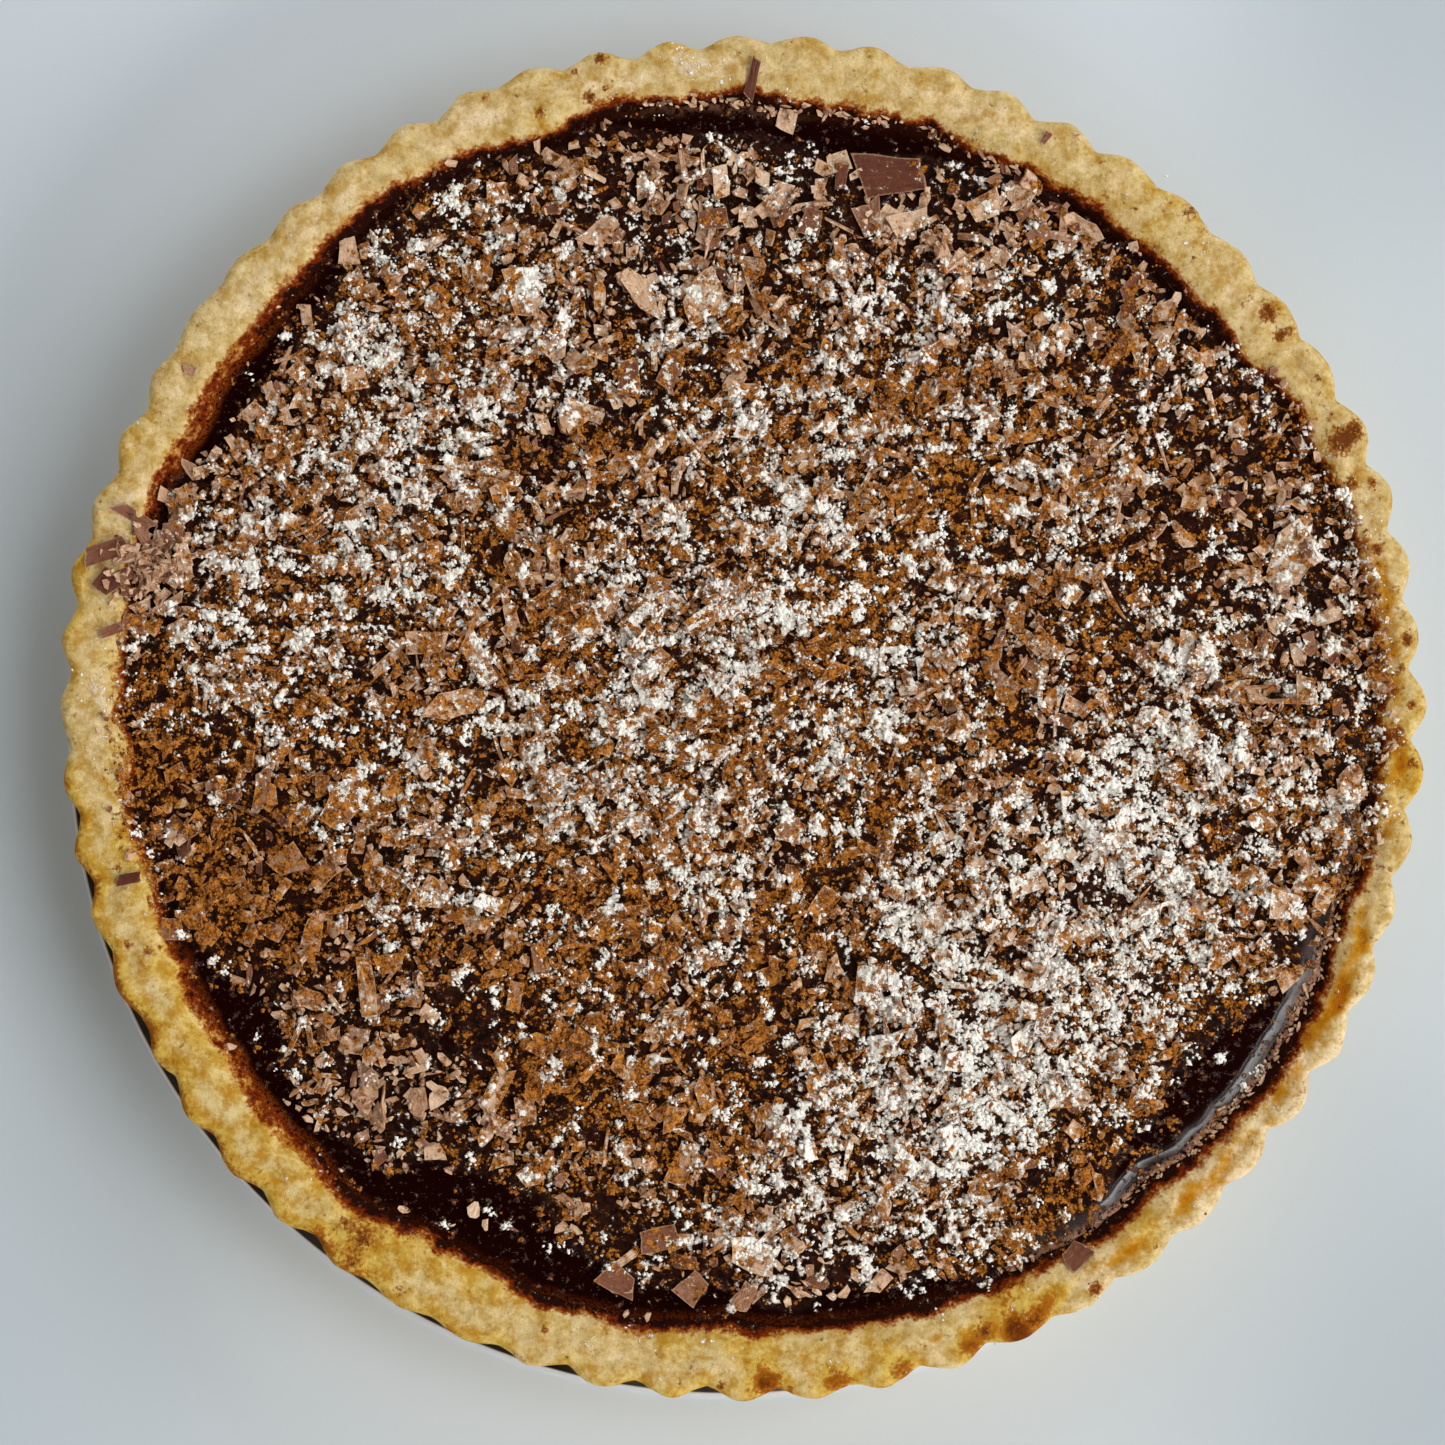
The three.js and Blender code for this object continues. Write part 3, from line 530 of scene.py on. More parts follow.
def closed_faces(rings, steps, inside_out=False):
    """Triangles between rings of points, and from the first and last ring to a point each."""
    step = np.arange(steps)
    after = (step + 1) % steps
    start = np.arange(rings - 1)[:, None] * steps
    a, b = start + step, start + after
    quads = np.stack([a, b, b + steps, a + steps], -1).reshape(-1, 4)
    last = (rings - 1) * steps
    first_end, last_end = np.full(steps, rings * steps), np.full(steps, rings * steps + 1)
    fans = [np.stack([first_end, after, step], -1), np.stack([last_end, last + step, last + after], -1)]
    if inside_out:
        quads, fans = quads[:, ::-1], [fan[:, [0, 2, 1]] for fan in fans]
    return np.concatenate([quads[:, [0, 1, 2]], quads[:, [0, 2, 3]], *fans])


def repeated(faces, count, points_each):
    """The faces of one piece, over again for each of many."""
    return (np.array(faces)[None] + np.arange(count)[:, None, None] * points_each).reshape(-1, 3)


# ---------------------------------------------------------------- materials


class Value:
    """What comes out of a shader node. Sums with it add the nodes that work them out."""

    def __init__(self, tree, socket):
        self.tree, self.socket = tree, socket

    def maths(self, operation, other, kind="Math", output=0):
        """The outcome of a Math or VectorMath node with this value and another."""
        return node(self.tree, kind, {0: self, 1: other}, output, operation=operation)

    def __add__(self, other):
        return self.maths("ADD", other)

    def __sub__(self, other):
        return self.maths("SUBTRACT", other)

    def __mul__(self, other):
        return self.maths("MULTIPLY", other)

    def scaled(self, *factors):
        """A vector with each part times its own factor."""
        return self.maths("MULTIPLY", factors, "VectorMath")

    def ramp(self, low, high, to_low=0.0, to_high=1.0):
        """Goes smoothly from one value to another as this one goes from low to high."""
        links = {"Value": self, "From Min": low, "From Max": high, "To Min": to_low, "To Max": to_high}
        return node(self.tree, "MapRange", links, interpolation_type="SMOOTHSTEP")


def node(tree, kind, links=None, output=0, **settings):
    """Adds a node with its settings and what goes into it, and returns one of its outputs."""
    made = tree.nodes.new("ShaderNode" + kind)
    for key, value in settings.items():
        setattr(made, key, value)
    for key, value in (links or {}).items():
        if isinstance(value, Value):
            tree.links.new(value.socket, made.inputs[key])
        else:
            made.inputs[key].default_value = value
    return Value(tree, made.outputs[output])


def linear(r, g, b):
    """An sRGB colour, 0 to 255, as a linear one."""
    parts = [c / 255 for c in (r, g, b)]
    return (*[p / 12.92 if p <= 0.04045 else ((p + 0.055) / 1.055) ** 2.4 for p in parts], 1)


def mixed(factor, a, b, blend="MIX"):
    """Colour a, turning into colour b as the factor goes from 0 to 1."""
    tree = next(part.tree for part in (factor, a, b) if isinstance(part, Value))
    a, b = (linear(*part) if isinstance(part, tuple) else part for part in (a, b))
    return node(tree, "Mix", {0: factor, 6: a, 7: b}, 2, data_type="RGBA", blend_type=blend)


def layered(colour, *layers):
    """Lays colours on a colour: each comes in as its value goes from low to high, up to a share."""
    for value, low, high, most, over in layers:
        colour = mixed(value.ramp(low, high, 0.0, most), colour, over)
    return colour


class Material:
    """A material under way: its nodes, and where and which way a point of the surface is."""

    def __init__(self, name, specular=0.5, **settings):
        self.material = bpy.data.materials.new(name)
        self.material.use_nodes = True
        self.tree = self.material.node_tree
        self.tree.nodes.clear()
        shader = node(self.tree, "BsdfPrincipled", {"Specular IOR Level": specular, **settings})
        self.inputs = shader.socket.node.inputs
        output = self.tree.nodes.new("ShaderNodeOutputMaterial")
        self.tree.links.new(shader.socket, output.inputs["Surface"])
        self.place = node(self.tree, "NewGeometry", output="Position")
        self.normal = Value(self.tree, self.place.socket.node.outputs["Normal"])

    def spots(self, per_mm, detail=2.0, roughness=0.5, place=None):
        """Noise with lumps of about 1 / per_mm millimetres, at a place in metres."""
        links = {"Vector": place or self.place, "Scale": per_mm / MM, "Detail": detail}
        return node(self.tree, "TexNoise", {**links, "Roughness": roughness})

    def value(self, name, output="Fac"):
        """A value that the mesh has on its points."""
        return node(self.tree, "Attribute", output=output, attribute_name=name)

    def upright(self):
        """How far the surface faces up."""
        return node(self.tree, "SeparateXYZ", {0: self.normal}, "Z")

    def blended(self, factor, a, b):
        """Value a, turning into value b as the factor goes from 0 to 1."""
        return node(self.tree, "Mix", {0: factor, 2: a, 3: b}, data_type="FLOAT")

    def dusted(self, colour, rough, veils=(0.36, 0.26)):
        """Lays cocoa powder and icing sugar on a colour where they fell from above."""
        flat = self.place.scaled(1, 1, 0.25)
        upward = self.upright().ramp(0.1, 0.55)
        fine = self.spots(2.4, 3.0, 0.7)
        speckle = (fine - 0.5) * 0.22
        shade = (fine * 0.4 + self.spots(0.8, 2.0, 0.6, flat) * 0.6).ramp(0.38, 0.62)
        height = 0.0
        for veil, (name, per_mm, dark, pale, fringe) in zip(veils, POWDER_LAYERS):
            over = self.spots(per_mm, 3.0, 0.6, flat) + speckle - self.value(name)
            thick = over.ramp(-0.025, 0.03)
            mask = thick.maths("MAXIMUM", over.ramp(-0.09, 0.0, 0.0, veil)) * upward
            colour = mixed(mask, colour, mixed(thick, fringe, mixed(shade, dark, pale)))
            rough = self.blended(mask, rough, 0.95)
            height = mask * (fine + 0.4) + height
        return colour, rough, height

    def finished(self, colour, rough=None, height=None, strength=0.9, distance=0.4, gloss=None):
        """Links the shader's colour, roughness, a bump of some mm and gloss, and gives the material."""
        links = {"Base Color": colour, "Roughness": rough, "Specular IOR Level": gloss}
        if height:
            bump = {"Height": height, "Strength": strength, "Distance": distance * MM}
            links["Normal"] = node(self.tree, "Bump", bump)
        for key, value in links.items():
            if value:
                self.tree.links.new(value.socket, self.inputs[key])
        return self.material


def pastry_material():
    """Baked shortcrust: pale and grainy, golden to brown in patches, stained beside the ganache."""
    made = Material("pastry", 0.05)
    fine, grain = made.spots(0.28, 5.0, 0.62), made.spots(1.3, 3.0, 0.65)
    mottle = (fine * 0.7 + grain * 0.3).ramp(0.36, 0.64)
    cream = mixed(mottle, (243, 219, 178), (229, 199, 153))
    pale = mixed(mottle, (231, 206, 150), (194, 159, 90))
    golden = mixed(mottle, (225, 191, 94), (186, 136, 38))
    grainy = grain - 0.5
    uneven = (fine - 0.5) * 1.2 + grainy * 0.45
    browning = made.value("browning") + uneven
    browned = browning + grainy
    crease = made.value("crease") + uneven * 1.5
    colour = layered(
        cream,
        (browning, -0.55, -0.05, 1.0, pale),
        (browning, 0.05, 0.65, 1.0, golden),
        (browned, 0.75, 1.15, 1.0, (168, 98, 20)),
        (browned, 1.15, 1.6, 1.0, (110, 48, 8)),
        (crease, 0.1, 1.0, 1.0, (198, 138, 26)),
        (crease, 0.8, 1.4, 1.0, (168, 96, 10)),
    )
    floury = mixed(made.spots(2.6, 2.0, 0.6).ramp(0.3, 0.7), (236, 230, 220), (255, 255, 255))
    burnt = made.value("speck") + grainy * 1.6
    stain = made.value("stain") + ((made.spots(0.42, 3.0, 0.6) - 0.5) * 3.6 + grainy * 2.6)
    smear = made.spots(0.7, 4.0, 0.7) + made.value("smear") * 0.28
    colour = layered(
        mixed(1.0, colour, floury, "MULTIPLY"),
        (made.spots(1.3, 2.0), 0.68, 0.73, 0.5, (160, 104, 38)),
        (burnt, 0.3, 0.55, 0.9, (150, 88, 28)),
        (burnt, 0.55, 0.8, 0.9, (104, 50, 15)),
        (stain, -0.5, 0.1, 0.85, (166, 94, 24)),
        (stain, 0.1, 0.7, 1.0, (112, 38, 3)),
        (stain, 0.75, 1.6, 1.0, (34, 8, 2)),
        (smear, 0.66, 0.8, 0.45, (240, 224, 208)),
    )
    colour, rough, height = made.dusted(colour, 0.85, (0.3, 0.15))
    height = made.spots(2.2, 3.0, 0.65) + fine * 0.8 + grain * 0.7 + height
    return made.finished(colour, rough, height, 0.9, 0.32)


def ganache_material():
    """Dark and glossy, dull under the topping, with a dried film beside the ridge."""
    made = Material("ganache")
    cloud = made.spots(0.25, 3.0)
    thin = made.value("thin") * made.spots(1.6, 3.0, 0.7).ramp(0.36, 0.56)
    dull, ridge = made.value("dull"), made.value("ridge")
    under = mixed(made.spots(0.9, 3.0, 0.6).ramp(0.35, 0.65), (12, 3, 1), (46, 17, 6))
    film = made.value("film") * made.spots(1.1, 4.0, 0.65).ramp(0.42, 0.54)
    motes = made.spots(1.7, 2.0).ramp(0.7, 0.74, 0.0, 0.5)
    colour = mixed(cloud, (25, 4, 2), (17, 2, 1))
    stains = ((thin, (132, 58, 13)), (dull, under), (film, (206, 148, 116)), (motes, (120, 80, 60)))
    for share, over in stains:
        colour = mixed(share, colour, over)
    rough = film * 0.6 + 0.1 + ridge * 0.2 + dull * 0.5
    gloss = dull.ramp(0, 1, 0.22, 0.05) + ridge * 0.5
    colour, rough, height = made.dusted(colour, rough, (0.2, 0.1))
    return made.finished(colour, rough, height + cloud * 0.15, 0.9, 0.4, gloss)


def chocolate_material(name):
    """Shaved chocolate: dark, reddish or pale where it is scraped, ribbed along its length, with painted
    shade along the ribs and on the side faces, and a pale edge that is partly a painted highlight.
    """
    made = Material(name, 0.14)
    tones = node(made.tree, "ValToRGB", {"Fac": made.value("tone")})
    stops = tones.socket.node.color_ramp.elements
    for i, tone in enumerate(CHOCOLATE_TONES):
        position = i / (len(CHOCOLATE_TONES) - 1)
        stop = stops.new(position) if 0 < position < 1 else stops[-1 if position else 0]
        stop.position, stop.color = position, linear(*tone)
    ribs = made.spots(MM, 3.0, 0.6, made.value("grain", "Vector").scaled(0.25, 2.2, 1.0))
    mottle = made.spots(1.6, 3.0, 0.65)
    # painted shade along the ribs, mixed with uneven mottled tone, multiplied into the colour
    rib_shade_and_mottle = mixed((ribs * 0.8 + mottle * 0.8).ramp(0.55, 1.05), (150, 140, 132), (255, 252, 248))
    colour = mixed(0.5, tones, mixed(1.0, tones, rib_shade_and_mottle, "MULTIPLY"))
    # side faces turned away from the light made darker and redder: painted shade
    side_shaded = mixed(1.0, colour, (214, 176, 150), "MULTIPLY")
    colour = mixed(made.upright().ramp(0.1, 0.7), side_shaded, colour)
    colour, rough, height = made.dusted(colour, 0.5)
    # a pale band along the edges: partly bare of powder, partly a painted highlight
    broken = made.value("edge") + mottle * 0.3
    colour = layered(colour, (broken, 0.98, 1.16, 0.4, (222, 180, 140)))
    return made.finished(colour, rough, height + ribs, 0.8, 0.26)


def powder_material(name, dark, pale):
    """Dull lumps of powder."""
    made = Material(name, 0.15, Roughness=0.95)
    grain = made.spots(2.2, 3.0, 0.65)
    colour = mixed(grain.ramp(0.36, 0.62), dark, pale)
    return made.finished(colour, None, grain, 0.6, 0.25)


def steel_material():
    """Oven-stained sheet steel, its colour darkened as painted shade and painted reflection of the dark
    crust, with a painted highlight along its edge.
    """
    made = Material("tin_steel", Metallic=1.0)
    fine = made.spots(0.25, 3.0, place=made.place.scaled(1, 9, 1))
    smudge = made.spots(0.03, 4.0, 0.6).ramp(0.35, 0.65)
    out = made.place.maths("SUBTRACT", (*TIN_CENTRE, 0), "VectorMath").scaled(1, 1, 0)
    far = node(made.tree, "VectorMath", {0: out}, "Value", operation="LENGTH")
    # a bright line round the edge: a painted highlight
    edge = far.ramp(TIN_RADIUS - 0.9 * MM, TIN_RADIUS - 0.4 * MM)
    # the dark face colours are painted shade and painted reflection of the crust
    colour = mixed(edge, mixed(smudge, (62, 50, 44), (108, 100, 98)), (236, 236, 238))
    return made.finished(colour, made.blended(edge, fine * 0.22 + 0.26, 0.75), fine, 0.08, 0.1)


# ---------------------------------------------------------------- the pastry case


def rim_rise(angle, outward, inward, x, y):
    """Height on the rim over its level, by the distance in from its edge and out from the opening.

    Also gives how deep the crease along the rim is, and how far in from the edge.
    """
    lobe = flute(angle)
    rise = 0.3 - 1.9 * fading(outward, 0.6)
    rise = rise - 1.8 * fading(inward, 1.9) + 0.95 * np.clip(inward, None, 0)
    rise = rise + 0.14 * lobe * np.exp(-outward / 3.5)
    deep = arc(angle, -28, 38) + 0.3 * arc(angle, 8, 8) + 0.4 * arc(angle, 30, 7) + 0.15
    crease_depth = 0.5 * np.clip(deep, 0, 1)
    crease_at = 3.9 + 1.7 * lobe + 1.0 * noise(x, y, 0, 13, 31)
    rise = rise - crease_depth * hump(outward, crease_at, 1.15)
    rise = rise + 0.32 * noise(x, y, 0, 11, 32, 2) + 0.4 * noise(x, y, 0, 4.2, 33, 2)
    return rise + 0.2 * noise(x, y, 0, 1.6, 34, 2), crease_depth, crease_at


def build_pastry(material):
    """The case as rings of points: up the outer wall, over the rim and down inside to the floor."""
    angle = np.arange(PASTRY_STEPS) / PASTRY_STEPS * TAU
    outer, inner = outer_radius(angle, 1), opening_radius(angle)
    wall, across, insets = (np.array(a)[:, None] for a in (WALL_SHARES, RIM_SHARES, SLOPE_INSETS))
    depths, below = np.array(INNER_WALL).T[..., None]
    feet = outer_radius(angle, wall) - 0.9 * np.exp(-wall / 0.03)
    radius = np.concatenate([feet, outer + (inner - outer) * across, inner - insets, inner - below])
    grid = np.broadcast_to(angle, radius.shape)
    on_wall = np.arange(len(radius))[:, None] < len(wall)

    x, y = radius * np.cos(grid), radius * np.sin(grid)
    outward, inward = outer - radius, radius - inner
    rise, crease_depth, crease_at = rim_rise(grid, np.clip(outward, 0, None), inward, x, y)
    z = RIM_LEVEL + rise
    z[: len(wall)] = CASE_BOTTOM + CASE_HEIGHT * wall
    z[-len(depths) :] = RIM_LEVEL - depths
    wall_top = smooth(0.5, 1.0, (z - CASE_BOTTOM) / CASE_HEIGHT)
    z = np.where(on_wall, z + wall_top * (rise[len(wall)] + 1.9), z)
    push = 0.42 * noise(x, y, z, 6.5, 35, 2) + 0.16 * noise(x, y, z, 2.0, 36, 2)
    pushed = (z > CASE_BOTTOM + 0.2) & (inward > 0.2) & (outward < 2.5)
    radius = radius + np.where(pushed, push * fading(outward, 1.2), 0)
    x, y = radius * np.cos(grid), radius * np.sin(grid)
    ends = [[0, 0, CASE_BOTTOM], [0, 0, CASE_FLOOR]]
    points = np.concatenate([np.stack([x, y, z], -1).reshape(-1, 3), ends])

    crease = hump(outward - crease_at, 0.4, 2.3) * crease_depth / 0.5
    creased = np.clip(0.65 + 1.5 * noise(x, y, 0, 8, 39, 2) + 0.3 * arc(grid, -4, 7), 0, 1.3)
    browning = 0.36 * noise(x, y, z, 14, 37, 3) + 0.12 + arcs(grid, BROWNER_ARCS)
    browning = browning - 0.34 * hump(outward, 5.5, 2.6) * (1 - arc(grid, -25, 45))
    browning = browning - 0.6 * arc(grid, -38, 34) * fading(outward, 5)
    margin = fading(outward, 2.4) * arc(grid, 212, 62) * (0.6 + 0.8 * noise(x, y, z, 7, 40, 2))
    foot = 0.3 * smooth(0.5, 0.1, (z - CASE_BOTTOM) / CASE_HEIGHT) - 0.15
    browning = browning + np.where(on_wall, 0.3 * margin + foot, 0.95 * margin + round_patches(x, y, BROWNED))
    smear = ~on_wall * round_patches(x, y, SUGAR_ON_RIM)
    stain = 0.3 - inward + 1.5 * noise(x, y, 0, 8, 38, 3)
    stain = stain - arc(grid, 180, 12) + 0.5 * arc(grid, 132, 8) - 0.3 * shoulder(grid)
    faint = np.clip(arc(grid, 150, 13) + arc(grid, 216, 14), 0, 0.8)
    stain = stain - np.clip(stain - 0.45, 0, None) * faint
    values = {
        "browning": browning,
        "crease": crease * creased * ~on_wall,
        "stain": np.where(on_wall, -9, stain),
        "speck": ~on_wall * round_patches(x, y, SPECKS),
        "smear": smear,
        "sugar": level(0.004 + 0.05 * smear + 0.5 * sugar_cover(x, y)),
        "cocoa": level(0.004 + 0.02 * arc(grid, 10, 50) + 0.6 * cocoa_cover(x, y)),
    }
    values = {key: np.append(value, value[0, : len(ends)]) for key, value in values.items()}
    faces = closed_faces(len(radius), PASTRY_STEPS)
    make_mesh("crust_pastry", points, faces, material, ("pastry_case",), **values)


# ---------------------------------------------------------------- the ganache


def build_ganache(material, cocoa_haze, sugar_haze):
    """The ganache as rings of points from its middle out, then down and in to the pastry floor."""
    steps = GANACHE_STEPS
    angle = np.arange(steps) / steps * TAU
    share = np.concatenate([np.linspace(0.012, 0.925, 46), np.linspace(0.9275, 1, 26)])[:, None]
    gap = 2.1 + 0.2 * shoulder(angle)
    ways = np.cos(angle), np.sin(angle)
    edge = opening_radius(angle) - gap + 0.3 * noise(*(130 * way for way in ways), 0, 5, 63, 2)
    radius = edge * share
    x, y = (radius * way for way in ways)
    cocoa, sugar = cocoa_cover(x, y) * bare_of_powder(x, y), sugar_cover(x, y)
    bed = smooth(0.25, 0.6, cocoa) * cover(x, y) * (0.5 + 0.5 * noise(x, y, 0, 2.4, 64, 2))
    inward = opening_radius(angle) - radius
    dried = np.clip(shoulder(angle) + 0.2 * arc(angle, 92, 6), 0, 1)
    wavy, wide = 0.7 * noise(x, y, 0, 6, 69), 1.1 + 0.5 * noise(x, y, 0, 8, 68)
    film = dried * hump(inward - 3.0, wavy, wide)
    lip = film * (0.5 + 0.5 * noise(x, y, 0, 1.8, 65, 2))
    thin_at = arcs(angle, [(150, 11, 1), (216, 12, 1), (90, 34, 0.12), (265, 24, 0.3)])
    thin = np.clip(1 - (inward - 2.6 + 0.6 * noise(x, y, 0, 3, 66, 2)) / 1.8, 0, 1) * np.clip(thin_at, 0, 1)
    z = ganache_height(x, y) + 0.9 * bed + 0.5 * lip
    points = [np.stack([x, y, z], -1).reshape(-1, 3)]
    base = CASE_FLOOR + 0.4
    side = ((1.6, 0.25), (4.0, 0.6), (GANACHE_LEVEL - base, 4.8))
    for drop, inset in side:
        level_z = np.full(steps, GANACHE_LEVEL - drop)
        points.append(np.stack([*((edge - inset) * way for way in ways), level_z], -1))
    points = np.concatenate([*points, [[0, 0, z[0].mean()], [0, 0, base]]])

    def on_points(value, beyond=0.0):
        return np.concatenate([value.ravel(), np.full(len(side) * steps + 2, beyond)])

    values = {
        "cocoa": on_points(level(0.38 * cocoa + 0.3 * cocoa_haze.at(x, y)), 1.0),
        "sugar": on_points(level(0.25 * sugar + 0.35 * sugar_haze.at(x, y)), 1.0),
        "film": on_points(film),
        "ridge": on_points(shoulder(angle) * hump(inward, 5.6, 1.5)),
        "thin": on_points(thin),
        "dull": on_points(smooth(0.1, 0.8, strewn(x, y) + 0.3 * noise(x, y, 0, 5, 67, 2))),
    }
    faces = closed_faces(len(share) + len(side), steps, inside_out=True)
    make_mesh("ganache", points, faces, material, ("ganache_filling",), **values)


# ---------------------------------------------------------------- what is scattered on it


class Bed:
    """The height of what lies on the tart so far, so that each new piece rests on it."""

    step = 0.4
    half = 142.0
    nowhere = -99

    def __init__(self):
        self.count = int(2 * self.half / self.step) + 1
        axis = np.linspace(-self.half, self.half, self.count)
        self.x, self.y = np.meshgrid(axis, axis)
        angle, radius = np.arctan2(self.y, self.x), np.hypot(self.x, self.y)
        outer, inner = outer_radius(angle, 1), opening_radius(angle)
        rim = RIM_LEVEL + rim_rise(angle, np.clip(outer - radius, 0, None), radius - inner, self.x, self.y)[0]
        filling = np.where(radius < inner, ganache_height(self.x, self.y), self.nowhere)
        self.z = np.maximum(np.where(radius < inner - 3, self.nowhere, rim), filling)
        self.z = np.where(radius > outer, CASE_BOTTOM, self.z)

    def cells(self, x, y):
        """The row and column of the bed at a place."""
        places = (((np.asarray(c) + self.half) / self.step).round().astype(int) for c in (y, x))
        return tuple(np.clip(place, 0, self.count - 1) for place in places)

    def height(self, x, y):
        return self.z[self.cells(x, y)]

    def drop(self, x, y, length, width, thick, heading, lean, sink, follow):
        """Lays a piece down: gives the height of its middle and its slopes, and raises the bed."""
        reach = int(math.hypot(length, width) / 2 / self.step) + 2
        j, i = self.cells(x, y)
        near = slice(max(j - reach, 0), j + reach + 1), slice(max(i - reach, 0), i + reach + 1)
        dx, dy, here = self.x[near] - x, self.y[near] - y, self.z[near]
        c, s = math.cos(heading), math.sin(heading)
        u, v = dx * c + dy * s, dy * c - dx * s
        under = (u / (length * 0.5)) ** 2 + (v / (width * 0.5)) ** 2 < 1.0
        h, u, v = here[under], u[under], v[under]
        if len(h) < 3:
            return float(self.height(x, y)), *lean
        level_off = h - h.mean()
        slopes = [(a * level_off).sum() / ((a * a).sum() + 0.2) for a in (u, v)]
        su, sv = (float(np.clip(slope, -0.6, 0.6)) * follow + tilt for slope, tilt in zip(slopes, lean))
        over = h - su * u - sv * v
        rank = max(int(len(over) * (1 - sink)) - 1, 0)
        base = float(np.partition(over, rank)[rank])
        base = min(base, TOPMOST - 1.3 * thick - 0.5 * (abs(su) * length + abs(sv) * width))
        here[under] = np.maximum(h, base + su * u + sv * v + thick)
        return base, su, sv


def scatter(rng, count, density):
    """Random places, as many as the count, drawn where a density from 0 to 1 allows."""
    found = np.zeros((0, 2))
    while len(found) < count:
        r = STREWN_RADIUS * np.sqrt(rng.random(count * 2))
        a = rng.random(count * 2) * TAU
        x, y = r * np.cos(a), r * np.sin(a)
        kept = rng.random(count * 2) < density(x, y)
        found = np.concatenate([found, np.stack([x, y], -1)[kept]])
    return found[:count]


class Pieces:
    """Pieces of one kind, gathered as they are dropped on the bed."""

    def __init__(self, bed):
        self.bed = bed
        self.rows = []

    def drop(self, x, y, length, width, thick, heading, lean, tone, curl=0, corners=0, sink=0.25, follow=0.8):
        base, su, sv = self.bed.drop(x, y, length, width, thick, heading, lean, sink, follow)
        self.rows.append((x, y, base, length, width, thick, heading, su, sv, tone, curl, corners))

    def table(self):
        return np.array(self.rows).T


def turned(local, x, y, z, heading, su, sv):
    """Points in a piece's own frame, tilted by its slopes, turned and put in place."""
    u, v, w = local[..., 0], local[..., 1], local[..., 2]
    tilt_u, tilt_v = np.arctan(su)[:, None], np.arctan(sv)[:, None]
    u, w = u * np.cos(tilt_u) - w * np.sin(tilt_u), u * np.sin(tilt_u) + w * np.cos(tilt_u)
    v, w = v * np.cos(tilt_v) - w * np.sin(tilt_v), v * np.sin(tilt_v) + w * np.cos(tilt_v)
    c, s = np.cos(heading)[:, None], np.sin(heading)[:, None]
    return np.stack([x[:, None] + u * c - v * s, y[:, None] + u * s + v * c, z[:, None] + w], -1)


class Haze:
    """How thickly a powder lies round its lumps."""

    step = 0.5
    half = 150.0

    def __init__(self, places, radii):
        self.count = int(2 * self.half / self.step)
        self.share = np.zeros((self.count, self.count))
        np.add.at(self.share, self.cells(places[:, 0], places[:, 1]), math.pi * radii**2 / self.step**2)
        for _ in range(3):
            for axis in (0, 1):
                beside = np.roll(self.share, 1, axis) + np.roll(self.share, -1, axis)
                self.share = self.share / 2 + beside / 4

    def cells(self, x, y):
        i, j = (np.clip((c + self.half) / self.step, 0, self.count - 1).astype(int) for c in (x, y))
        return j, i

    def at(self, x, y):
        return self.share[self.cells(x, y)]


def dust_values(points, cocoa_haze, sugar_haze):
    """How much cocoa and sugar lies on the points of a mesh."""
    x, y = points[:, 0], points[:, 1]
    clean = bare_of_powder(x, y)
    cocoa = 1.5 * cocoa_cover(x, y) * clean + 0.3 * cocoa_haze.at(x, y)
    sugar = (0.62 * sugar_cover(x, y) + 0.6 * sugar_haze.at(x, y)) * (0.12 + 0.88 * clean)
    return {"cocoa": level(cocoa), "sugar": level(sugar)}


def build_chocolate(name, pieces, local, faces, edge, rng, hazes):
    """A mesh of pieces from the points of each in its own frame, and the faces and edge of one."""
    x, y, z, _, _, _, heading, su, sv, tone, _, _ = pieces.table()
    count, per = local.shape[:2]
    points = turned(local, x, y, z, heading, su, sv)
    points[..., 2] -= np.clip(points[..., 2].max(1) - TOPMOST, 0, None)[:, None]
    points = points.reshape(-1, 3)
    grain = (local + rng.random((count, 1, 3)) * 50).reshape(-1, 3)
    values = {"tone": np.repeat(tone, per), "grain": grain, "edge": np.tile(edge, count)}
    values.update(dust_values(points, *hazes))
    faces = repeated(faces, count, per)
    make_mesh(name, points, faces, chocolate_material(name[:-1]), smooth_shaded=False, **values)


def build_crumbs(name, pieces, rng, hazes):
    """Small angular chips: five-sided blocks with uneven corners."""
    length, width, thick = (size[:, None] for size in pieces.table()[3:6])
    count, sides = len(length), 5
    turn = (np.arange(sides) + rng.uniform(-0.42, 0.42, (count, sides))) / sides * TAU
    reach = rng.uniform(0.32, 0.68, (count, sides))
    u, v = length * reach * np.cos(turn), width * reach * np.sin(turn)
    shrink = rng.uniform(0.84, 1.02, (count, 1))
    shift = rng.uniform(-0.12, 0.12, (count, 2)) * length
    high = thick * rng.uniform(0.7, 1.25, (count, sides))
    low = rng.uniform(-0.12, 0.05, (count, sides))
    top = np.stack([u * shrink + shift[:, :1], v * shrink + shift[:, 1:], high], -1)
    middle = top.mean(1, keepdims=True)
    middle[..., 2] += thick * rng.uniform(-0.3, 0.3, (count, 1))
    local = np.concatenate([top, np.stack([u, v, low], -1), middle], 1)
    faces = [(5, 7, 6), (5, 8, 7), (5, 9, 8)]
    for i in range(sides):
        j = (i + 1) % sides
        faces += [(10, i, j), (i, 5 + i, 5 + j), (i, 5 + j, j)]
    edge = [1.0] * sides + [0.5] * sides + [0.0]
    build_chocolate(name, pieces, local, faces, edge, rng, hazes)


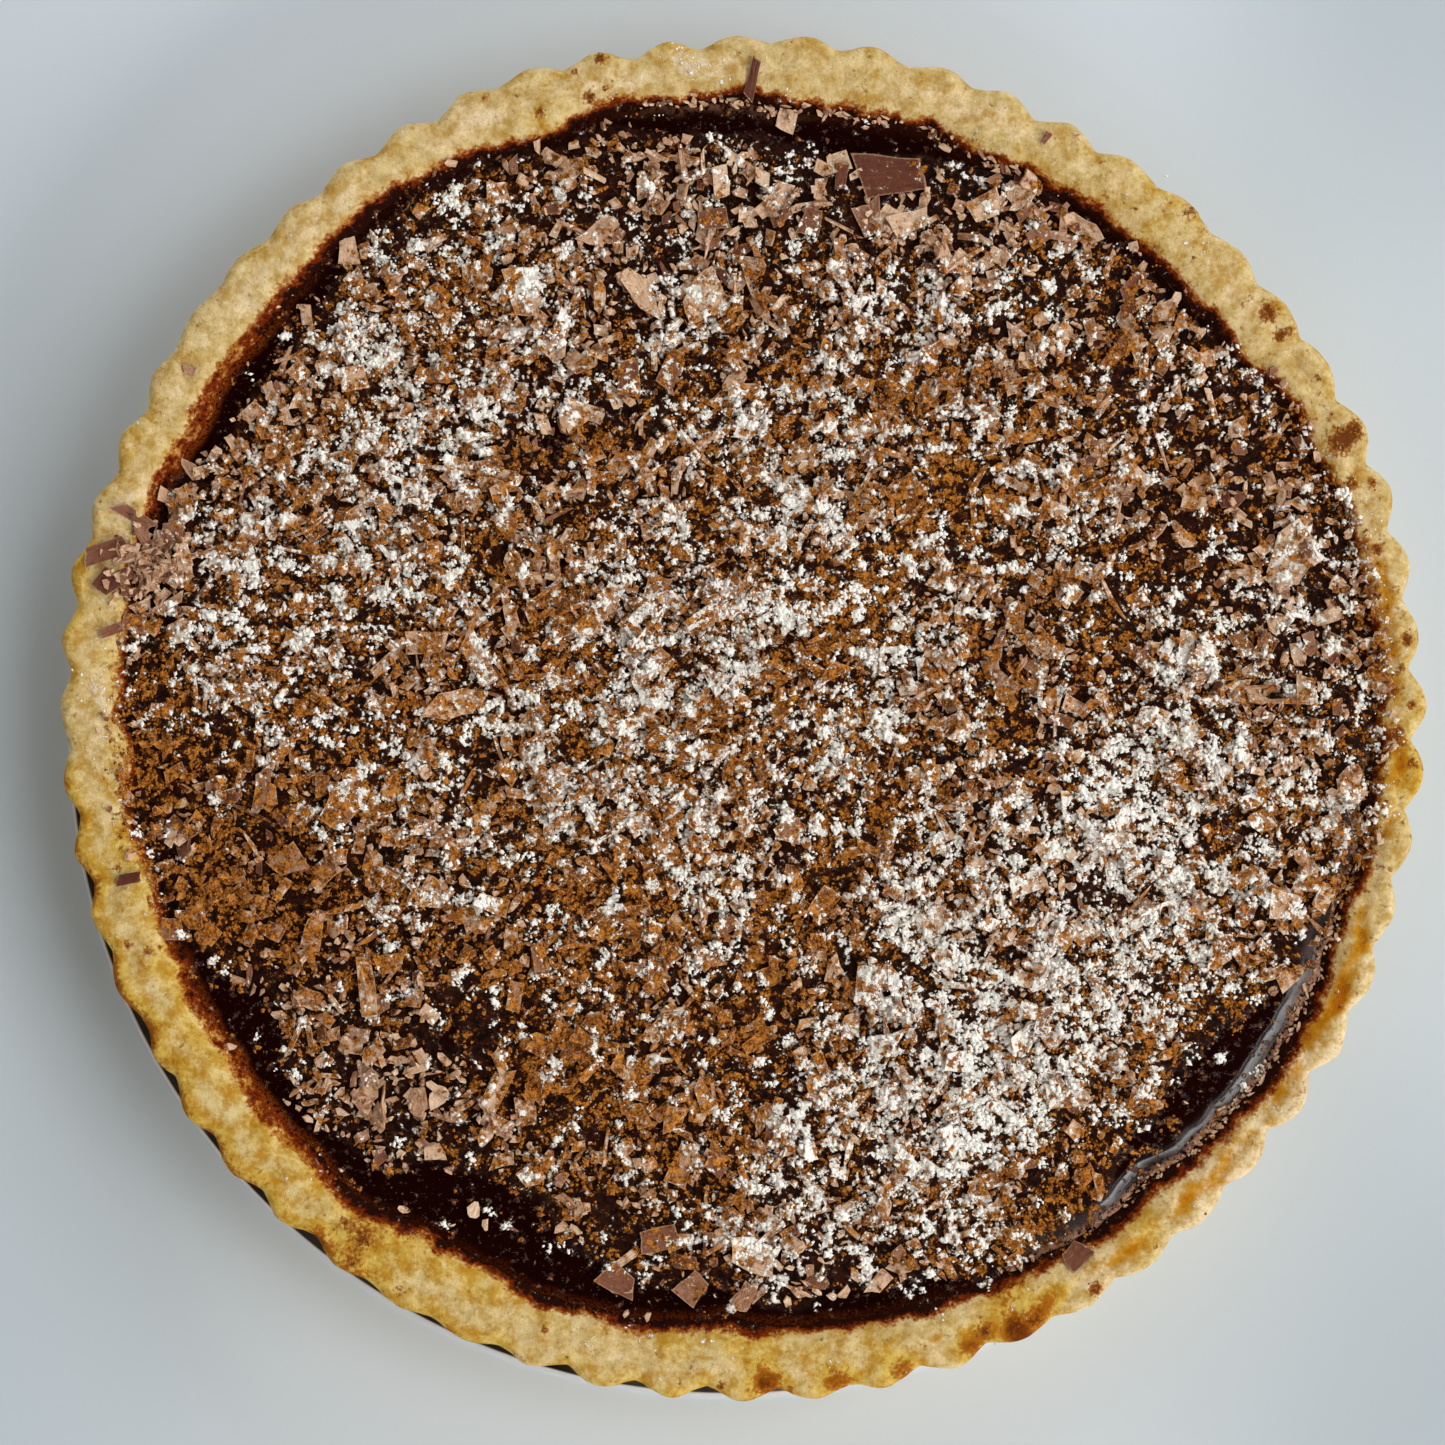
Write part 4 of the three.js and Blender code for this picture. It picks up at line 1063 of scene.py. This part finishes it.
def build_flakes(name, pieces, rng, hazes, around, kinds):
    """Larger shavings: thin plates with straight broken edges, bent along or across.

    Each has so many points around, and as many corners as it was given or one of the kinds.
    """
    length, width, thick, _, _, _, _, curl, corners = pieces.table()[3:]
    count = len(length)
    corners = np.where(corners > 0, corners, rng.choice(kinds, count))
    spot = np.zeros((count, around, 2))
    for k, offset, spread in ((3, 0.5, 0.62), (4, 0.5, 0.64), (6, 0.0, 0.54), (8, 0.0, 0.52)):
        chosen = corners == k
        n = int(chosen.sum())
        if n == 0:
            continue
        turn = (np.arange(k) + offset + rng.uniform(-0.2, 0.2, (n, k))) / k * TAU
        reach = rng.uniform(0.74, 1.16, (n, k)) * spread
        corner = np.stack([reach * np.cos(turn), reach * np.sin(turn)], -1)
        per = around // k
        for i in range(k):
            a, b = corner[:, i], corner[:, (i + 1) % k]
            for m in range(per):
                spot[chosen, i * per + m] = a + (b - a) * m / per
    spot += rng.uniform(-0.03, 0.03, spot.shape)
    rings = [np.zeros((count, 1, 2)), spot * 0.6, spot]
    flat = np.concatenate(rings, 1) * np.stack([length, width], -1)[:, None, :]
    u, v = flat[..., 0], flat[..., 1]
    half, curl, thick = length[:, None] * 0.5, curl[:, None], thick[:, None]
    sag = curl * (u**2 / half) * 0.45
    twist = rng.uniform(-0.25, 0.25, (count, 1)) * np.clip(curl * 2, 0.15, 1) * u * v / half
    lift = sag + twist - (sag.mean(1, keepdims=True)) * 0.5
    uneven = rng.uniform(-0.07, 0.07, u.shape) * thick
    ragged = 1 + 0.18 * rng.uniform(-1, 1, u.shape)
    top = np.stack([u, v, lift + thick * ragged + uneven], -1)
    bottom = np.stack([u * 0.96, v * 0.96, lift], -1)
    low = 1 + 2 * around
    faces = []
    for i in range(around):
        j = (i + 1) % around
        a, b, c, d = 1 + i, 1 + j, 1 + around + i, 1 + around + j
        faces += [(0, a, b), (a, c, d), (a, d, b)]
        faces += [(low, low + b, low + a), (low + a, low + d, low + c), (low + a, low + b, low + d)]
        faces += [(c, low + c, low + d), (c, low + d, d)]
    edge = [0.0] + [0.3] * around + [1.0] * around + [0.5] * low
    build_chocolate(name, pieces, np.concatenate([top, bottom], 1), faces, edge, rng, hazes)


def build_lumps(name, places, radii, bed, material, rng, flat=0.75, sides=4):
    """Lumps of powder, each a ring of points between a top and a bottom one, resting on the bed."""
    around = np.arange(sides) / sides * TAU
    ring = np.stack([np.cos(around), np.sin(around), np.full(sides, 0.1)], -1)
    ball = np.concatenate([ring, [[0, 0, 0.9], [0, 0, -0.8]]])
    faces = []
    for i in range(sides):
        j = (i + 1) % sides
        faces += [(i, j, sides), (j, i, sides + 1)]
    count = len(places)
    z = bed.height(places[:, 0], places[:, 1]) + radii * flat * 0.35
    shape = ball[None] * rng.uniform(0.7, 1.3, (count, len(ball), 1)) * radii[:, None, None]
    stretch = rng.uniform(0.75, 1.35, (count, 1))
    u, v = shape[..., 0] * stretch, shape[..., 1] / stretch
    turn = rng.random(count)[:, None] * TAU
    c, s = np.cos(turn), np.sin(turn)
    px, py = places[:, :1] + u * c - v * s, places[:, 1:] + u * s + v * c
    points = np.stack([px, py, z[:, None] + shape[..., 2] * flat], -1).reshape(-1, 3)
    make_mesh(name, points, repeated(faces, count, len(ball)), material)


def clusters(rng, groups, density, sizes, spread, radii):
    """Places and radii of lumps that lie in uneven little groups."""
    middles = scatter(rng, groups, density)
    members = rng.integers(sizes[0], sizes[1] + 1, groups)
    owner = np.repeat(np.arange(groups), members)
    scale = rng.uniform(*spread, groups)[owner]
    offset = rng.normal(0, 1, (len(owner), 2)) * scale[:, None]
    size = rng.uniform(*radii, len(owner)) * rng.uniform(0.8, 1.2, groups)[owner]
    far = np.hypot(offset[:, 0], offset[:, 1]) / scale
    return middles[owner] + offset, size * np.clip(1.15 - 0.2 * far, 0.5, 1.2)


def random_tone(rng, pale=0.8):
    """How pale a scraped piece is: mostly pale, some of it dark."""
    if rng.random() < pale:
        return float(np.clip(rng.normal(0.76, 0.15), 0.3, 1))
    return float(np.clip(rng.normal(0.25, 0.15), 0, 0.6))


def drop_chocolate(rng, bed):
    """Drops all chips and shavings: gives the crumbs, the shards and the flakes."""
    crumbs, shards, flakes = Pieces(bed), Pieces(bed), Pieces(bed)

    def cover_within(low, high):
        """The cover, coming in between two distances from the opening's edge."""

        def density(x, y):
            return cover(x, y) * smooth(low, high, opening_radius(np.arctan2(y, x)) - np.hypot(x, y))

        return density

    def drop_crumbs(count, low, high):
        for x, y in scatter(rng, count, cover):
            size = low + (high - low) * rng.random() ** 1.7
            width = size * (rng.uniform(0.4, 0.95) if rng.random() < 0.7 else rng.uniform(0.2, 0.4))
            thick = min(rng.uniform(0.25, 0.7), width)
            lean = rng.normal(0, 0.34, 2)
            crumbs.drop(x, y, size, width, thick, rng.random() * TAU, lean, random_tone(rng))

    def drop_plates(pieces, count, clear, draw_size, slim, tilt, thin, pale, bent):
        """Scatters plates, clear of the edge. What is a pair is a range that is drawn from."""
        for x, y in scatter(rng, count, cover_within(*clear)):
            size = draw_size()
            width = size * rng.uniform(*slim)
            lean = rng.normal(0, tilt, 2)
            thick, heading = rng.uniform(*thin), rng.random() * TAU
            tone, curl = random_tone(rng, pale), rng.uniform(*bent)
            pieces.drop(x, y, size, width, thick, heading, lean, tone, curl)

    def drop_shards(count):
        sizes = (0.28, 0.8), 0.26, (0.35, 0.7), 0.8, (-0.3, 0.7)
        drop_plates(shards, count, (0.5, 3.5), lambda: 2.8 + 4.0 * rng.random() ** 1.5, *sizes)

    def drop_along_edge(count, first, last, inset, least, widths, turn, tilt, tone):
        """Crumbs along the opening's edge between two angles, about as far in from it as the inset."""
        for _ in range(count):
            along = math.radians(rng.uniform(first, last))
            radius = float(opening_radius(along)) - rng.normal(inset, 0.6)
            size, width = least + 2.2 * rng.random() ** 2, rng.uniform(*widths)
            heading, lean = along + rng.normal(1.57, turn), rng.normal(0, tilt, 2)
            x, y = radius * math.cos(along), radius * math.sin(along)
            crumbs.drop(x, y, size, width, 0.35, heading, lean, tone())

    drop_crumbs(3300, 1.1, 3.6)
    drop_shards(1000)
    sizes = (0.3, 0.6), 0.12, (0.5, 0.8), 0.7, (0, 0.8)
    drop_plates(flakes, 40, (3, 7), lambda: rng.uniform(6, 10), *sizes)
    drop_crumbs(2000, 1.2, 3.6)
    drop_shards(900)
    drop_crumbs(2900, 0.9, 2.6)
    for x, y in scatter(rng, 240, cover_within(2, 6)):
        size, lean = rng.uniform(4.5, 9.5), rng.normal(0, 0.12, 2)
        width, thick, heading = rng.uniform(0.7, 1.4), rng.uniform(0.4, 0.7), rng.random() * TAU
        shards.drop(x, y, size, width, thick, heading, lean, random_tone(rng), rng.uniform(-0.3, 0.8))
    for px, py, long, wide, heading, tone, curl, thick in NOTED_FLAKES:
        size, lean = (long * MM_PER_PX, wide * MM_PER_PX, thick), rng.normal(0, 0.05, 2)
        flakes.drop(*at(px, py), *size, math.radians(heading), lean, tone, curl, 6 if curl >= 0.5 else 4)
    for px, py, long, wide, heading, tone, tilt in RIM_FLAKES:
        size, lean = (long * MM_PER_PX, wide * MM_PER_PX, 0.6), (math.radians(tilt), 0.04)
        flakes.drop(*at(px, py), *size, math.radians(heading), lean, tone, 0.25, 4, 0.15, 0.6)
    drop_crumbs(2000, 0.8, 2.2)
    drop_along_edge(220, -52, -13, 3.1, 0.5, (0.4, 1.0), 0.5, 0.25, lambda: rng.uniform(0.4, 0.95))
    drop_along_edge(110, 62, 100, 1.7, 0.7, (0.5, 1.3), 0.6, 0.2, lambda: random_tone(rng))
    for _ in range(170):
        x, y = at(rng.normal(152, 20), rng.normal(568, 19))
        size, width, heading = rng.uniform(0.9, 2.8), rng.uniform(0.5, 1.4), rng.random() * TAU
        lean, tone = rng.normal(0, 0.3, 2), 0.9 * random_tone(rng, 0.7)
        crumbs.drop(x, y, size, width, 0.45, heading, lean, tone, sink=0.5, follow=0.4)
    return crumbs, shards, flakes


def place_powder(rng, cover_of, ease, fine_noise, on_rim, radii, spacing, groups):
    """Places and radii of a powder's lumps: first those spilt on the rim, then those on the topping."""

    def density(x, y):
        fine = 0.5 + 0.5 * noise(x, y, 0, *fine_noise, 2)
        return np.clip(2.0 * cover_of(x, y) * bare_of_powder(x, y) * smooth(*ease, fine), 0, 1)

    spilt = []
    for px, py, radius, strength in on_rim:
        for _ in range(int(strength * radius**2 / spacing**2) + 2):
            x, y = at(rng.normal(px, radius * 0.5), rng.normal(py, radius * 0.5))
            spilt.append([x, y, rng.uniform(*radii)])
    spilt = np.array(spilt)
    places, sizes = clusters(rng, groups[0], density, *groups[1:])
    places = np.concatenate([spilt[:, :2], places])[:MOST_LUMPS]
    return places, np.append(spilt[:, 2], sizes)[:MOST_LUMPS]


def build_toppings():
    """What is scattered on the tart, and the ganache that shows between it."""
    rng = np.random.default_rng(TOPPING_SEED)
    bed = Bed()
    crumbs, shards, flakes = drop_chocolate(rng, bed)
    specks = [speck for speck in SPECKS if speck[3] > 0.55]
    groups = (8300, (1, 5), (0.35, 0.9), (0.22, 0.58))
    cocoa = place_powder(rng, cocoa_cover, (0.2, 0.65), (2.6, 92), specks, (0.15, 0.36), 3, groups)
    groups = (4600, (1, 9), (0.3, 0.9), (0.25, 0.68))
    sugar = place_powder(rng, sugar_cover, (0.25, 0.7), (3.2, 82), SUGAR_ON_RIM, (0.12, 0.3), 6.5, groups)
    hazes = Haze(*cocoa), Haze(*sugar)

    build_ganache(ganache_material(), *hazes)
    build_crumbs("choc_crumbs", crumbs, rng, hazes)
    build_flakes("choc_shards", shards, rng, hazes, 8, [4, 4, 4, 8])
    build_flakes("choc_flakes", flakes, rng, hazes, 12, [4, 4, 6, 3])
    build_lumps("cocoa_lumps", *cocoa, bed, powder_material("cocoa_powder", *COCOA_LUMP), rng)
    build_lumps("sugar_lumps", *sugar, bed, powder_material("sugar_powder", *SUGAR_LUMP), rng)


# ---------------------------------------------------------------- the scene around it


def build_table():
    """The flat table top under the tart, which isn't part of it, with painted pools of light and painted
    shade on it.
    """
    made = Material("table_top", 0.3, Roughness=0.6)
    colour = mixed(made.spots(0.004, 2.0), *TABLE_COLOURS)
    # lighter and darker round places: painted light and painted shade on the table
    for x, y, far, most, painted_shading_colour in TABLE_PAINTED_LIGHT_AND_SHADE:
        away = made.place.maths("DISTANCE", (x * MM, y * MM, 0), "VectorMath", "Value")
        colour = layered(colour, (away, far * MM, 0.24 * far * MM, most, painted_shading_colour))
    mesh = bpy.data.meshes.new("table_top")
    corners = [(TABLE_SIDE * x, TABLE_SIDE * y, 0) for x, y in ((-1, -1), (1, -1), (1, 1), (-1, 1))]
    mesh.from_pydata(corners, [], [(0, 1, 2, 3)])
    mesh.materials.append(made.finished(colour))
    table = placed("table_top", mesh)
    table.location.z = -0.0001


def build_lights():
    """Area lights that face the tart."""
    for name, azimuth, elevation, width, height, power, colour in LIGHTS:
        light = bpy.data.lights.new(name, "AREA")
        light.shape = "RECTANGLE"
        light.size, light.size_y, light.energy, light.color = width, height, power, colour
        holder = placed(name, light)
        a, e = math.radians(azimuth), math.radians(elevation)
        direction = (math.cos(a) * math.cos(e), math.sin(a) * math.cos(e), math.sin(e))
        holder.location = [LIGHT_DISTANCE * part for part in direction]
        holder.rotation_euler = (math.pi / 2 - e, 0, a + math.pi / 2)


def build_room():
    """A pale room, darker overhead."""
    world = bpy.data.worlds.new("room")
    world.use_nodes = True
    tree = world.node_tree
    tree.nodes.clear()
    direction = node(tree, "TexCoord", output="Generated")
    across, up = (node(tree, "SeparateXYZ", {0: direction}, axis) for axis in ("X", "Z"))
    level_sky = mixed(across.ramp(-0.5, 0.5), *ROOM_LEVEL_COLOURS)
    colour = layered(level_sky, (up, 0.1, 0.95, 1.0, ROOM_TOP_COLOUR))
    background = node(tree, "Background", {"Color": colour, "Strength": ROOM_STRENGTH})
    output = tree.nodes.new("ShaderNodeOutputWorld")
    tree.links.new(background.socket, output.inputs["Surface"])
    bpy.context.scene.world = world


def build_camera():
    """The camera straight above the rim, as far off as the picture was taken."""
    camera = bpy.data.cameras.new("camera")
    camera.sensor_width = SENSOR
    camera.lens = SENSOR * CAMERA_ABOVE_RIM / (PICTURE_SIDE * MM_PER_PX)
    camera.clip_start, camera.clip_end = 0.05, 20.0
    x, y = at(PICTURE_SIDE / 2, PICTURE_SIDE / 2)
    holder = placed("camera", camera)
    holder.location = (x * MM, y * MM, (RIM_LEVEL + CAMERA_ABOVE_RIM) * MM)
    bpy.context.scene.camera = holder
    bpy.context.scene.view_settings.view_transform = "Standard"


build_pastry(pastry_material())
build_toppings()
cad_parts["tin_base"].data.materials.clear()
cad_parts["tin_base"].data.materials.append(steel_material())
build_table()
build_lights()
build_room()
build_camera()
